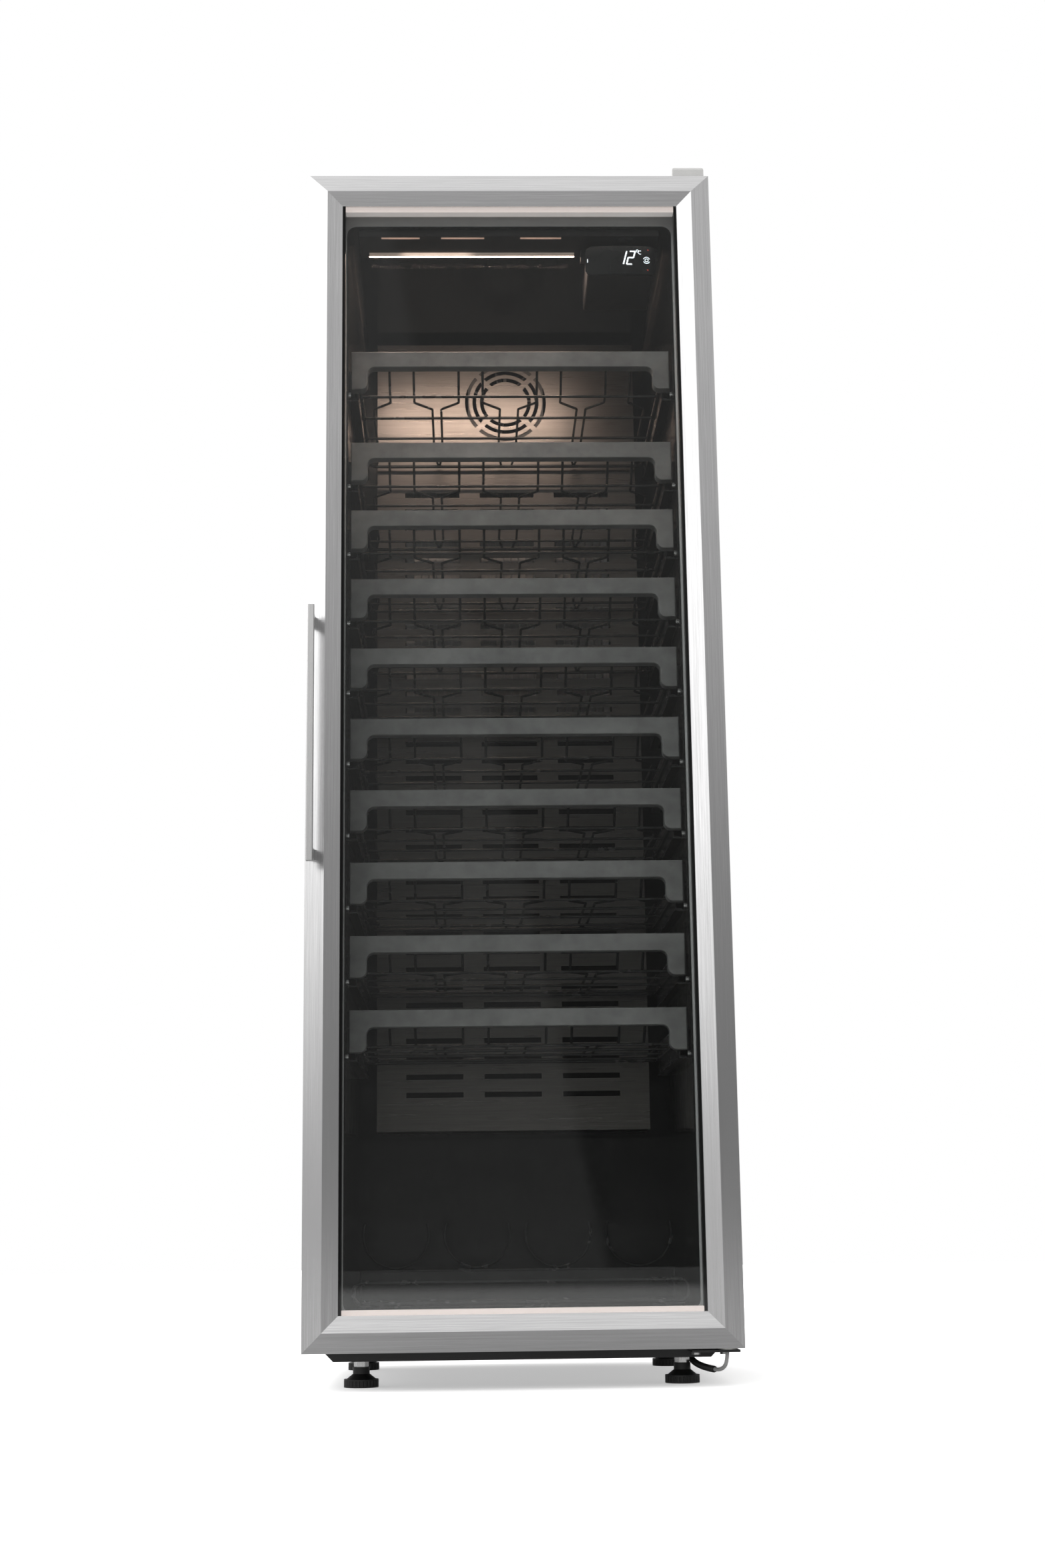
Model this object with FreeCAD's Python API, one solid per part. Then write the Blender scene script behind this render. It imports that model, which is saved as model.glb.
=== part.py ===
import FreeCAD, Part
import math
import os

# Tall wine cooler with a glass door, in millimetres.
# X runs from the handle side to the hinge side, Z is up from the floor.
# All shapes are laid out with Y = 0 at the front plane of the door and Y growing towards the back;
# save() then shifts them so that the origin is the middle of the footprint.

V = FreeCAD.Vector

# ---- driving dimensions ----
DOOR_WIDTH = 565.0
DOOR_HEIGHT = 1616.0
DOOR_BOTTOM = 48.0
DOOR_THICKNESS = 46.0
CABINET_SIDE_INSET = 5.0         # cabinet side inside the door's side
CABINET_DEPTH = 530.0
CABINET_BOTTOM = 50.0
CABINET_TOP_INSET = 6.0          # cabinet top below the door top
SEAL_GAP = 12.0                  # space between door and cabinet that the gasket fills
SOFT_CLEARANCE = 0.3             # between pieces that part when something moves
RUNNING_CLEARANCE = 0.05         # radial, shaft in hole
FIT_CLEARANCE = 0.1              # radial, plug in hole of the same body

# door frame section
FACE_WIDTH = 46.5
RIDGE = 25.5                     # distance of the ridge from the outer edge
OUTER_FALL = 5.0                 # outer edge behind the ridge
INNER_FALL = 4.75                # inner edge behind the ridge
LIP_BACK = 8.0                   # back of the lip, where the glass sits
REBATE = 35.5                    # rebate wall from the outer edge
FRAME_WALL = 2.2
PANE = 4.0
PANE_GAP = 14.0
PANE_MARGIN = 1.0                # pane edge to rebate wall
SPACER_BAR_HEIGHT = 15.0
SPACER_SIDE_WIDTH = 12.0
RETAINER_DEPTH = 6.0
GASKET_OFFSET = 17.0             # outer edge of the gasket from the door edge
GASKET_WIDTH = 14.0
CORNER_KEY_LEG = 70.0

# hinges
PIVOT_INSET = 20.0               # pivot axis from the door's side
PIVOT_DEPTH = 28.0               # pivot axis behind the door's front plane
TOP_PIN_RADIUS = 4.0
LOWER_PIN_RADIUS = 6.0
LOWER_PIN_BORE = 4.0
BUSH_WALL = 3.0
BUSH_FLANGE = 2.0
BUSH_LENGTH = 18.0
PIN_ENGAGEMENT = 15.0
HINGE_PLATE = 3.0
HINGE_COVER_HEIGHT = 19.0        # above the door top

# handle
HANDLE_LENGTH = 347.0
HANDLE_RISE = 628.0              # handle above the door's lower edge
HANDLE_WIDTH = 9.0
HANDLE_THICKNESS = 10.0
HANDLE_STANDOFF = 36.0           # front of the bar ahead of the door's ridge
HANDLE_EDGE = 4.0                # bar from the door's side
HANDLE_POST = 14.0
HANDLE_POST_INSET = 7.0

# cabinet
SHEET = 1.0
LINER = 2.0
WALL_SIDE = 45.0                 # sheet, foam and liner together
WALL_TOP = 47.0
WALL_BOTTOM = 45.0
WALL_BACK = 50.0
RIM_RADIUS = 12.0
HUMP_DEPTH = 368.0               # hump face behind the cabinet front
HUMP_HEIGHT = 234.0              # hump ledge above the cavity floor
HUMP_WALL = 32.0
BASE_HEIGHT = 16.0
BASE_INSET = 17.0                # front of the base behind the cabinet front
BASE_RAIL_DEPTH = 55.0
BASE_SIDE_INSET = 15.5           # base end inside the cabinet side
BASE_REAR_GAP = 78.0
BASE_WALL = 2.0

# feet
FOOT_RADIUS = 22.75
FOOT_DISC = 10.3
FOOT_CONE = 6.8
FOOT_NECK_RADIUS = 11.0
STUD_RADIUS = 5.0
NUT_ACROSS_FLATS = 17.0
NUT_HEIGHT = 8.0
FRONT_FOOT_SIDE = 66.5           # foot axis inside the cabinet side
REAR_FOOT_SIDE = 52.5
FRONT_FOOT_SETBACK = 52.0        # behind the cabinet front
REAR_FOOT_INSET = 108.0          # ahead of the cabinet back
KNURLS = 28

# shelves
SHELF_COUNT = 10
TOP_SHELF_DROP = 176.0           # highest fascia top below the cavity ceiling
UPPER_PITCH = 137.0              # highest shelf to the next
LOWEST_SHELF_RISE = 394.2        # lowest fascia top above the cavity floor
FASCIA_SIDE_GAP = 3.0
FASCIA_SETBACK = 30.0            # behind the cabinet front
FASCIA_THICKNESS = 17.0
FASCIA_BAR = 23.5
FASCIA_HEIGHT = 57.0
FASCIA_LEG = 23.5
FASCIA_FILLET = 10.0
FASCIA_EDGE = 1.5
RUNNER_WIDTH = 12.7
RUNNER_HEIGHT = 45.0
RUNNER_DROP = 22.0               # runner top below the fascia top
RUNNER_WALL = 1.5
RUNNER_FRONT_GAP = 3.0
RACK_BACK_GAP = 10.0             # rack end to duct panel
MIDDLE_BOTTLE = 57.0             # innermost bottle from the middle plane
BOTTLE_PITCH = 100.0
BOTTLE_SIDE_ROOM = 8.0           # least room between a cradle and the side wire
FRAME_WIRE = 2.5                 # radii
CROSS_WIRE = 2.0
CRADLE_WIRE = 1.75
CRADLE_HALF_WIDTH = 43.5
NECK_HALF_WIDTH = 17.5
WELD_SINK = 0.4
MAT_SETBACK = 40.0               # rack's flat part behind the fascia
NECK_REST_FLAT = 24.0
NECK_REST_FALL = 30.0
NECK_REST_TAIL = 6.0
CRADLE_BEND = 7.0

# air duct panel and what is behind it
DUCT_SETBACK = 397.0             # panel face behind the cabinet front
DUCT_SIDE_GAP = 25.5
DUCT_TOP_GAP = 11.0
DUCT_BOTTOM_GAP = 14.0
FAN_DROP = 109.0                 # fan axis below the cavity ceiling
FAN_SIZE = 120.0
CONDENSER_FAN_SIZE = 120.0
FAN_DEPTH = 28.0
FAN_BORE = 57.0
FAN_TIP_GAP = 3.0
FAN_SHAFT = 2.0
GUARD_SLOTS = ((35.0, 41.0), (47.0, 53.0), (59.0, 65.0))
LOUVRE_PITCH = 27.0
LOUVRE_HEIGHT = 8.0
LOUVRE_WIDTH = 86.0
LOUVRE_COLUMN_PITCH = 118.0
LOUVRE_SIDE_ROOM = 20.0
FIN = 1.5
FIN_SPINE = 14.0                 # unslotted back of a finned coil

# header strip and controller
HEADER_DEPTH = 70.0
HEADER_SETBACK = 8.0
HEADER_HEIGHT = 9.0
HEADER_SIDE_GAP = 15.0
CONTROLLER_SIDE_GAP = 18.5
CONTROLLER_WIDTH = 102.0
CONTROLLER_HEIGHT = 43.0
CONTROLLER_DROP = 10.0           # below the header strip
CONTROLLER_DEPTH = 134.0
CONTROLLER_SETBACK = 18.0
WINDOW_DEPTH = 8.0
WINDOW_BOW = 5.0
SWITCH_OFFSET = 58.0             # from the controller's left side
SWITCH_WIDTH = 20.0
SWITCH_DEPTH = 11.0

# bottle rack on the floor
BOTTLE_RACK_SIDE_GAP = 10.5
BOTTLE_RACK_DEPTH = 300.0
BOTTLE_RACK_SETBACK = 27.0
FLOOR_BOTTLE_PITCH = 114.0
FLOOR_CRADLE_RADIUS = 46.0
FLOOR_CRADLE_SETBACK = 200.0     # cradles behind the front loop
FLOOR_CRADLE_RISE = 45.0         # cross wire above the base loop
FLOOR_CRADLE_SPREAD = 110.0      # degrees at each side of the lowest point
FRONT_LOOP_RISE = 6.5            # front loop above the base loop
FRONT_LOOP_HEIGHT = 27.0
BASE_LOOP_SETBACK = 30.0         # base loop behind the front loop
BOTTLE_RAIL_OFFSET = 25.0        # rails at each side of a bottle's middle

# machine space
CONDENSER_SIDE_GAP = 37.5
CONDENSER_WIDTH = 115.0
CONDENSER_HEIGHT = 200.0
CONDENSER_TO_FAN = 30.0
COMPRESSOR_SIDE = 157.5          # compressor axis from the cabinet side
COMPRESSOR_RADIUS = 57.0
COMPRESSOR_HEIGHT = 95.0
INLET_SIDE = 45.5

# ---- places worked out from the driving dimensions ----
DOOR_TOP = DOOR_BOTTOM + DOOR_HEIGHT
DOOR_HALF = DOOR_WIDTH / 2
PIVOT_X = DOOR_HALF - PIVOT_INSET
CABINET_TOP = DOOR_TOP - CABINET_TOP_INSET
CABINET_HALF = DOOR_HALF - CABINET_SIDE_INSET
CABINET_FRONT = DOOR_THICKNESS + SEAL_GAP
CABINET_BACK = CABINET_FRONT + CABINET_DEPTH
ORIGIN_SHIFT = -(CABINET_BACK - HANDLE_STANDOFF) / 2
CAVITY_HALF = CABINET_HALF - WALL_SIDE - LINER
CAVITY_FLOOR = CABINET_BOTTOM + WALL_BOTTOM + LINER
CAVITY_CEILING = CABINET_TOP - WALL_TOP - LINER
CAVITY_BACK = CABINET_BACK - WALL_BACK - LINER
HANDLE_BOTTOM = DOOR_BOTTOM + HANDLE_RISE
FAN_HEIGHT = CAVITY_CEILING - FAN_DROP
HUMP_FACE = CABINET_FRONT + HUMP_DEPTH
HUMP_LEDGE = CAVITY_FLOOR + HUMP_HEIGHT
BULKHEAD = HUMP_FACE + LINER + HUMP_WALL
MACHINE_CEILING = HUMP_LEDGE - LINER - HUMP_WALL
MACHINE_FLOOR = CABINET_BOTTOM + SHEET
BASE_BOTTOM = CABINET_BOTTOM - BASE_HEIGHT
BASE_FRONT = CABINET_FRONT + BASE_INSET
BASE_BACK = CABINET_BACK - BASE_REAR_GAP
GLASS_HALF = DOOR_HALF - REBATE - PANE_MARGIN
GLASS_BOTTOM = DOOR_BOTTOM + REBATE + PANE_MARGIN
GLASS_TOP = DOOR_TOP - REBATE - PANE_MARGIN
INNER_PANE = LIP_BACK + PANE + PANE_GAP
RETAINER_FRONT = INNER_PANE + PANE
HINGE_TOP_PLATE = DOOR_TOP + BUSH_FLANGE + SOFT_CLEARANCE
HINGE_LOW_PLATE = DOOR_BOTTOM - BUSH_FLANGE - SOFT_CLEARANCE - HINGE_PLATE
FASCIA_FRONT = CABINET_FRONT + FASCIA_SETBACK
FASCIA_BACK = FASCIA_FRONT + FASCIA_THICKNESS
FASCIA_HALF = CAVITY_HALF - FASCIA_SIDE_GAP
DUCT_FACE = CABINET_FRONT + DUCT_SETBACK
DUCT_HALF_WIDTH = CAVITY_HALF - DUCT_SIDE_GAP
DUCT_BOTTOM = HUMP_LEDGE + DUCT_BOTTOM_GAP
DUCT_TOP = CAVITY_CEILING - DUCT_TOP_GAP
RACK_END = DUCT_FACE - RACK_BACK_GAP
RUNNER_FRONT = FASCIA_BACK + RUNNER_FRONT_GAP
HEADER_FRONT = CABINET_FRONT + HEADER_SETBACK
HEADER_BACK = HEADER_FRONT + HEADER_DEPTH
HEADER_BOTTOM = CAVITY_CEILING - HEADER_HEIGHT
CONTROLLER_LEFT = CAVITY_HALF - CONTROLLER_SIDE_GAP - CONTROLLER_WIDTH
SWITCH_X = CONTROLLER_LEFT + SWITCH_OFFSET
CONTROLLER_TOP = HEADER_BOTTOM - CONTROLLER_DROP
CONTROLLER_FRONT = CABINET_FRONT + CONTROLLER_SETBACK
TOP_SHELF = CAVITY_CEILING - TOP_SHELF_DROP
SECOND_SHELF = TOP_SHELF - UPPER_PITCH
LOWEST_SHELF = CAVITY_FLOOR + LOWEST_SHELF_RISE
SHELF_PITCH = (SECOND_SHELF - LOWEST_SHELF) / (SHELF_COUNT - 2)
SHELF_TOPS = [TOP_SHELF] + [SECOND_SHELF - SHELF_PITCH * number for number in range(SHELF_COUNT - 1)]


# ---- shape helpers ----
def box(x0, x1, y0, y1, z0, z1):
    """Box between two corners."""
    return Part.makeBox(x1 - x0, y1 - y0, z1 - z0, V(x0, y0, z0))


def rod(radius, start, end):
    """Round bar between two points."""
    axis = V(*end) - V(*start)
    return Part.makeCylinder(radius, axis.Length, V(*start), axis)


def prism(points, direction):
    """Straight extrusion of a closed polygon."""
    corners = [V(*point) for point in points]
    outline = Part.makePolygon(corners + corners[:1])
    return Part.Face(outline).extrude(V(*direction))


def mirrored(shape):
    """The same shape on the other side of the middle plane."""
    return shape.mirror(V(0, 0, 0), V(1, 0, 0))


def flipped(shape, height):
    """The same shape upside down about a height."""
    return shape.mirror(V(0, 0, height), V(0, 0, 1))


def fused(shapes):
    """One solid from overlapping or touching shapes."""
    return shapes[0].multiFuse(shapes[1:]).removeSplitter()


def rounded_plate(x0, x1, z0, z1, y0, y1, radius):
    """Plate in the XZ plane with round corners."""
    plate = box(x0, x1, y0, y1, z0, z1)
    corners = [edge for edge in plate.Edges if abs(edge.tangentAt(0).y) > 0.99]
    return plate.makeFillet(radius, corners)


def rim_rounded(shape, radius):
    """Rounds the four long edges that run from front to back at the cavity's side walls."""
    edges = []
    for edge in shape.Edges:
        along_depth = edge.Length > RIM_RADIUS and abs(edge.tangentAt(edge.FirstParameter).y) > 0.99
        centre = edge.CenterOfMass
        low_or_high = centre.z < CAVITY_FLOOR + LINER or centre.z > CAVITY_CEILING - LINER
        if along_depth and low_or_high:
            edges.append(edge)
    return shape.makeFillet(radius, edges)


def bend_at(before, corner, after, bend):
    """Tangent arc round one corner: its start, end, centre, axis, turn and radius.

    bend is the radius, or None for the largest that the two runs have room for.
    """
    inward = (before - corner).normalize()
    outward = (after - corner).normalize()
    half_turn = (math.pi - inward.getAngle(outward)) / 2
    shorter = min((before - corner).Length, (after - corner).Length)
    radius = 0.45 * shorter / math.tan(half_turn) if bend is None else bend
    setback = radius * math.tan(half_turn)
    centre = corner + (inward + outward).normalize() * (radius / math.cos(half_turn))
    axis = outward.cross(inward)
    return corner + inward * setback, corner + outward * setback, centre, axis, 2 * half_turn, radius


def bent_rod_facts(radius, points, bend):
    """Round wire along straight runs joined by tangent arcs."""
    corners = [V(*point) for point in points]
    pieces = []
    radii = []
    length = 0.0
    last = corners[0]
    for before, corner, after in zip(corners, corners[1:], corners[2:]):
        start, end, centre, axis, turn, bend_radius = bend_at(before, corner, after, bend)
        pieces.append(rod(radius, last, start))
        section = Part.Face(Part.Wire([Part.makeCircle(radius, start, corner - before)]))
        pieces.append(section.revolve(centre, axis, math.degrees(turn)))
        length += (start - last).Length + bend_radius * turn
        radii.append(round(bend_radius, 1))
        last = end
    pieces.append(rod(radius, last, corners[-1]))
    length += (corners[-1] - last).Length
    return fused(pieces), radii, length


def bent_rod(radius, points, bend):
    """The solid of a bent wire alone."""
    return bent_rod_facts(radius, points, bend)[0]


def hexagon_nut(centre, across_flats, height, bore):
    """Hexagonal nut standing on its centre point, or a screw head where bore is 0."""
    x, y, z = centre
    radius = across_flats / math.sqrt(3)
    corners = []
    for side in range(6):
        angle = math.radians(60 * side)
        corners.append((x + radius * math.cos(angle), y + radius * math.sin(angle), z))
    nut = prism(corners, (0, 0, height))
    if bore:
        nut = nut.cut(rod(bore, (x, y, z - 1), (x, y, z + height + 1)))
    return nut


def save(name, shapes):
    """Writes one node, shifted so that the origin is the middle of the footprint."""
    solids = []
    for shape in shapes:
        for solid in shape.Solids:
            moved = solid.copy()
            moved.translate(V(0, ORIGIN_SHIFT, 0))
            solids.append(moved)
    node = solids[0] if len(solids) == 1 else Part.makeCompound(solids)
    node.exportStep(f"parts/{name}.step")


# ---- door ----
def mitred_members(section, bottom, top, half):
    """Left, right, bottom and top members of a frame from one section of (inset, depth) points."""
    reach = max(inset for inset, _ in section) + 1
    depth = max(behind for _, behind in section) + 1
    left = prism([(-half + inset, behind, bottom) for inset, behind in section], (0, 0, top - bottom))
    lower = prism([(-half, behind, bottom + inset) for inset, behind in section], (2 * half, 0, 0))
    left_end = [
        (-half, -1, bottom),
        (-half + reach, -1, bottom + reach),
        (-half + reach, -1, top - reach),
        (-half, -1, top),
    ]
    lower_end = [
        (-half, -1, bottom),
        (half, -1, bottom),
        (half - reach, -1, bottom + reach),
        (-half + reach, -1, bottom + reach),
    ]
    left = left.common(prism(left_end, (0, depth + 1, 0)))
    lower = lower.common(prism(lower_end, (0, depth + 1, 0)))
    return left, mirrored(left), lower, flipped(lower, (bottom + top) / 2)


def chamber_section(clearance):
    """Hollow of the frame extrusion, as (inset, depth) points."""
    near = FRAME_WALL + clearance
    far = REBATE - FRAME_WALL - clearance
    front = LIP_BACK - 0.5 + clearance
    back = DOOR_THICKNESS - FRAME_WALL - clearance
    return [(near, front), (far, front), (far, back), (near, back)]


def pivot_hole(radius_top, radius_bottom):
    """Holes for the two hinge bushes on the door's pivot axis."""
    depth = BUSH_LENGTH + FIT_CLEARANCE
    upper = rod(radius_top, (PIVOT_X, PIVOT_DEPTH, DOOR_TOP - depth), (PIVOT_X, PIVOT_DEPTH, DOOR_TOP + 1))
    lower = rod(
        radius_bottom, (PIVOT_X, PIVOT_DEPTH, DOOR_BOTTOM - 1), (PIVOT_X, PIVOT_DEPTH, DOOR_BOTTOM + depth)
    )
    return upper, lower


def bush_radii():
    """Outer radii of the upper and lower bush."""
    upper = TOP_PIN_RADIUS + RUNNING_CLEARANCE + BUSH_WALL
    lower = LOWER_PIN_RADIUS + RUNNING_CLEARANCE + BUSH_WALL
    return upper, lower


def door_frame():
    """Four mitred hollow extrusions and the corner keys inside them."""
    outside = [
        (0, OUTER_FALL),
        (RIDGE, 0),
        (FACE_WIDTH, INNER_FALL),
        (FACE_WIDTH, LIP_BACK),
        (REBATE, LIP_BACK),
        (REBATE, DOOR_THICKNESS),
        (0, DOOR_THICKNESS),
    ]
    solid_members = mitred_members(outside, DOOR_BOTTOM, DOOR_TOP, DOOR_HALF)
    hollow_members = mitred_members(chamber_section(0), DOOR_BOTTOM, DOOR_TOP, DOOR_HALF)
    members = [solid.cut(hollow) for solid, hollow in zip(solid_members, hollow_members)]
    upper, lower = bush_radii()
    upper_hole, lower_hole = pivot_hole(upper + FIT_CLEARANCE, lower + FIT_CLEARANCE)
    left, right, bottom, top = members
    bottom = bottom.cut(lower_hole)
    top = top.cut(upper_hole)
    near, front = chamber_section(FIT_CLEARANCE)[0]
    far, back = chamber_section(FIT_CLEARANCE)[2]
    leg = [
        (-DOOR_HALF + near, front, DOOR_BOTTOM + near),
        (-DOOR_HALF + near + CORNER_KEY_LEG, front, DOOR_BOTTOM + near),
        (-DOOR_HALF + near + CORNER_KEY_LEG, front, DOOR_BOTTOM + far),
        (-DOOR_HALF + far, front, DOOR_BOTTOM + far),
        (-DOOR_HALF + far, front, DOOR_BOTTOM + near + CORNER_KEY_LEG),
        (-DOOR_HALF + near, front, DOOR_BOTTOM + near + CORNER_KEY_LEG),
    ]
    middle = (DOOR_BOTTOM + DOOR_TOP) / 2
    lower_left = prism(leg, (0, back - front, 0))
    lower_right = mirrored(lower_left)
    upper_left = flipped(lower_left, middle)
    upper_right = flipped(lower_right, middle)
    keys = [lower_left, upper_left, lower_right.cut(lower_hole), upper_right.cut(upper_hole)]
    save("door_stiles", [left, right])
    save("door_rails", [bottom, top])
    save("door_corner_keys", keys)
    return left


def hinge_bushes():
    """Plastic bushes pressed into the corner keys, each with a flange that carries the door."""
    upper, lower = bush_radii()
    bushes = []
    for radius, pin, start, sense in (
        (upper, TOP_PIN_RADIUS, DOOR_TOP, -1),
        (lower, LOWER_PIN_RADIUS, DOOR_BOTTOM, 1),
    ):
        body = rod(radius, (PIVOT_X, PIVOT_DEPTH, start), (PIVOT_X, PIVOT_DEPTH, start + sense * BUSH_LENGTH))
        flange = rod(
            radius + BUSH_WALL,
            (PIVOT_X, PIVOT_DEPTH, start - sense * BUSH_FLANGE),
            (PIVOT_X, PIVOT_DEPTH, start),
        )
        bore = rod(
            pin + RUNNING_CLEARANCE,
            (PIVOT_X, PIVOT_DEPTH, start - sense * (BUSH_FLANGE + 1)),
            (PIVOT_X, PIVOT_DEPTH, start + sense * (BUSH_LENGTH + 1)),
        )
        bushes.append(fused([body, flange]).cut(bore))
    save("hinge_bushes", bushes)


def ring(half, bottom, top, side, end, front, back):
    """Flat rectangular ring, side wide at left and right, end high at top and bottom."""
    outer = box(-half, half, front, back, bottom, top)
    inner = box(-half + side, half - side, front - 1, back + 1, bottom + end, top - end)
    return outer.cut(inner)


def glazing():
    """Two panes, the spacer between them, the retainer behind and the magnetic gasket."""
    panes = []
    for front in (LIP_BACK, INNER_PANE):
        panes.append(box(-GLASS_HALF, GLASS_HALF, front, front + PANE, GLASS_BOTTOM, GLASS_TOP))
    spacer = ring(
        GLASS_HALF - 1.5,
        GLASS_BOTTOM + 1.5,
        GLASS_TOP - 1.5,
        SPACER_SIDE_WIDTH,
        SPACER_BAR_HEIGHT,
        LIP_BACK + PANE,
        INNER_PANE,
    )
    seat = REBATE + FIT_CLEARANCE
    retainer_width = FACE_WIDTH - seat
    retainer = ring(
        DOOR_HALF - seat,
        DOOR_BOTTOM + seat,
        DOOR_TOP - seat,
        retainer_width,
        retainer_width,
        RETAINER_FRONT,
        RETAINER_FRONT + RETAINER_DEPTH,
    )
    near = GASKET_OFFSET
    far = GASKET_OFFSET + GASKET_WIDTH
    waist = 4.0
    back = CABINET_FRONT - SOFT_CLEARANCE
    lips = [
        (near, DOOR_THICKNESS),
        (far, DOOR_THICKNESS),
        (far, DOOR_THICKNESS + 2.5),
        (far - waist, DOOR_THICKNESS + 4),
        (far - waist, DOOR_THICKNESS + 5),
        (far, DOOR_THICKNESS + 6.5),
        (far, back),
        (near, back),
        (near, DOOR_THICKNESS + 6.5),
        (near + waist, DOOR_THICKNESS + 5),
        (near + waist, DOOR_THICKNESS + 4),
        (near, DOOR_THICKNESS + 2.5),
    ]
    gasket = fused(list(mitred_members(lips, DOOR_BOTTOM, DOOR_TOP, DOOR_HALF)))
    save("glass_panes", panes)
    save("glass_spacer", [spacer])
    save("glass_retainer", [retainer])
    save("door_gasket", [gasket])


def door_handle(stile):
    """Flat bar on two posts that stand on the sloping face of the left stile."""
    left = -DOOR_HALF + HANDLE_EDGE
    right = left + HANDLE_WIDTH
    top = HANDLE_BOTTOM + HANDLE_LENGTH
    bar = box(left, right, -HANDLE_STANDOFF, -HANDLE_STANDOFF + HANDLE_THICKNESS, HANDLE_BOTTOM, top)
    long_edges = [edge for edge in bar.Edges if edge.Length > HANDLE_LENGTH - 1]
    bar = bar.makeFillet(1.0, long_edges)
    posts = []
    for low in (HANDLE_BOTTOM + HANDLE_POST_INSET, top - HANDLE_POST_INSET - HANDLE_POST):
        posts.append(
            box(left + 1, right - 1, -HANDLE_STANDOFF + HANDLE_THICKNESS - 1, OUTER_FALL, low, low + HANDLE_POST)
        )
    save("door_handle", [fused([bar, *posts]).cut(stile)])


# ---- cabinet body ----
def liner_blocks():
    """Outside of the moulded liner and the space inside it, each with the hump at the lower back."""
    blocks = []
    for wall in (LINER, 0):
        outline = [
            (0, CABINET_FRONT, CAVITY_FLOOR - wall),
            (0, HUMP_FACE + wall, CAVITY_FLOOR - wall),
            (0, HUMP_FACE + wall, HUMP_LEDGE - wall),
            (0, CAVITY_BACK + wall, HUMP_LEDGE - wall),
            (0, CAVITY_BACK + wall, CAVITY_CEILING + wall),
            (0, CABINET_FRONT, CAVITY_CEILING + wall),
        ]
        block = prism(outline, (2 * (CAVITY_HALF + wall), 0, 0))
        block.translate(V(-CAVITY_HALF - wall, 0, 0))
        blocks.append(rim_rounded(block, RIM_RADIUS + wall))
    return blocks


def cabinet_shell(liner_outside):
    """Sheet panels with front returns, the stepped wall of the machine space, and the foam between."""
    front = CABINET_FRONT
    return_width = WALL_SIDE
    side = fused([
        box(-CABINET_HALF, -CABINET_HALF + SHEET, front, CABINET_BACK, CABINET_BOTTOM, CABINET_TOP),
        box(-CABINET_HALF, -CABINET_HALF + return_width + RIM_RADIUS, front, front + SHEET,
            CABINET_BOTTOM, CABINET_TOP),
    ])
    inner = CABINET_HALF - SHEET
    gap = CABINET_HALF - return_width - RIM_RADIUS
    top = fused([
        box(-inner, inner, front + SHEET, CABINET_BACK, CABINET_TOP - SHEET, CABINET_TOP),
        box(-gap, gap, front, front + SHEET, CABINET_TOP - WALL_TOP - RIM_RADIUS, CABINET_TOP),
    ])
    floor = fused([
        box(-inner, inner, front + SHEET, CABINET_BACK, CABINET_BOTTOM, MACHINE_FLOOR),
        box(-gap, gap, front, front + SHEET, CABINET_BOTTOM, CABINET_BOTTOM + WALL_BOTTOM + RIM_RADIUS),
    ])
    bulkhead = box(-inner, inner, BULKHEAD, BULKHEAD + SHEET, MACHINE_FLOOR, MACHINE_CEILING)
    shelf = box(-inner, inner, BULKHEAD, CABINET_BACK, MACHINE_CEILING, MACHINE_CEILING + SHEET)
    panels = [side, mirrored(side), top, floor]
    save("outer_shell", [panel.cut(liner_outside) for panel in panels] + [bulkhead, shelf])

    foam = box(-inner, inner, front + SHEET, CABINET_BACK - SHEET, MACHINE_FLOOR, CABINET_TOP - SHEET)
    machine = box(
        -CABINET_HALF, CABINET_HALF, BULKHEAD, CABINET_BACK, 0, MACHINE_CEILING + SHEET
    )
    save("insulation_foam", [foam.cut(liner_outside).cut(machine)])
    back = box(
        -inner, inner, CABINET_BACK - SHEET, CABINET_BACK, MACHINE_CEILING + SHEET, CABINET_TOP - SHEET
    )
    save("back_panel", [back])


def base_frame():
    """Closed rails under the cabinet, ends cut at 45 degrees, with bosses for the feet."""
    half = CABINET_HALF - BASE_SIDE_INSET
    low_half = half - BASE_HEIGHT
    outline = [(-low_half, 0, 0), (low_half, 0, 0), (half, 0, BASE_HEIGHT), (-half, 0, BASE_HEIGHT)]
    rails = []
    hollows = []
    for front in (BASE_FRONT, BASE_BACK - BASE_RAIL_DEPTH):
        rail = prism(outline, (0, BASE_RAIL_DEPTH, 0))
        rail.translate(V(0, front, BASE_BOTTOM))
        rails.append(rail)
        hollows.append(
            box(-half, half, front + BASE_WALL, front + BASE_RAIL_DEPTH - BASE_WALL,
                BASE_BOTTOM + BASE_WALL, CABINET_BOTTOM - BASE_WALL)
        )
    side = box(
        -half + 6, -half + 30, BASE_FRONT + BASE_RAIL_DEPTH - 1, BASE_BACK - BASE_RAIL_DEPTH + 1,
        CABINET_BOTTOM - 10, CABINET_BOTTOM
    )
    frame = fused([*rails, side, mirrored(side)])
    for hollow in hollows:
        frame = frame.cut(hollow)
    bosses = []
    for x, y in foot_places().values():
        bosses.append(rod(FOOT_NECK_RADIUS, (x, y, BASE_BOTTOM), (x, y, CABINET_BOTTOM)))
    frame = fused([frame, *bosses])
    for x, y in foot_places().values():
        bore = STUD_RADIUS + RUNNING_CLEARANCE
        frame = frame.cut(rod(bore, (x, y, BASE_BOTTOM - 1), (x, y, CABINET_BOTTOM + 1)))
    save("base_frame", [frame])


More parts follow.
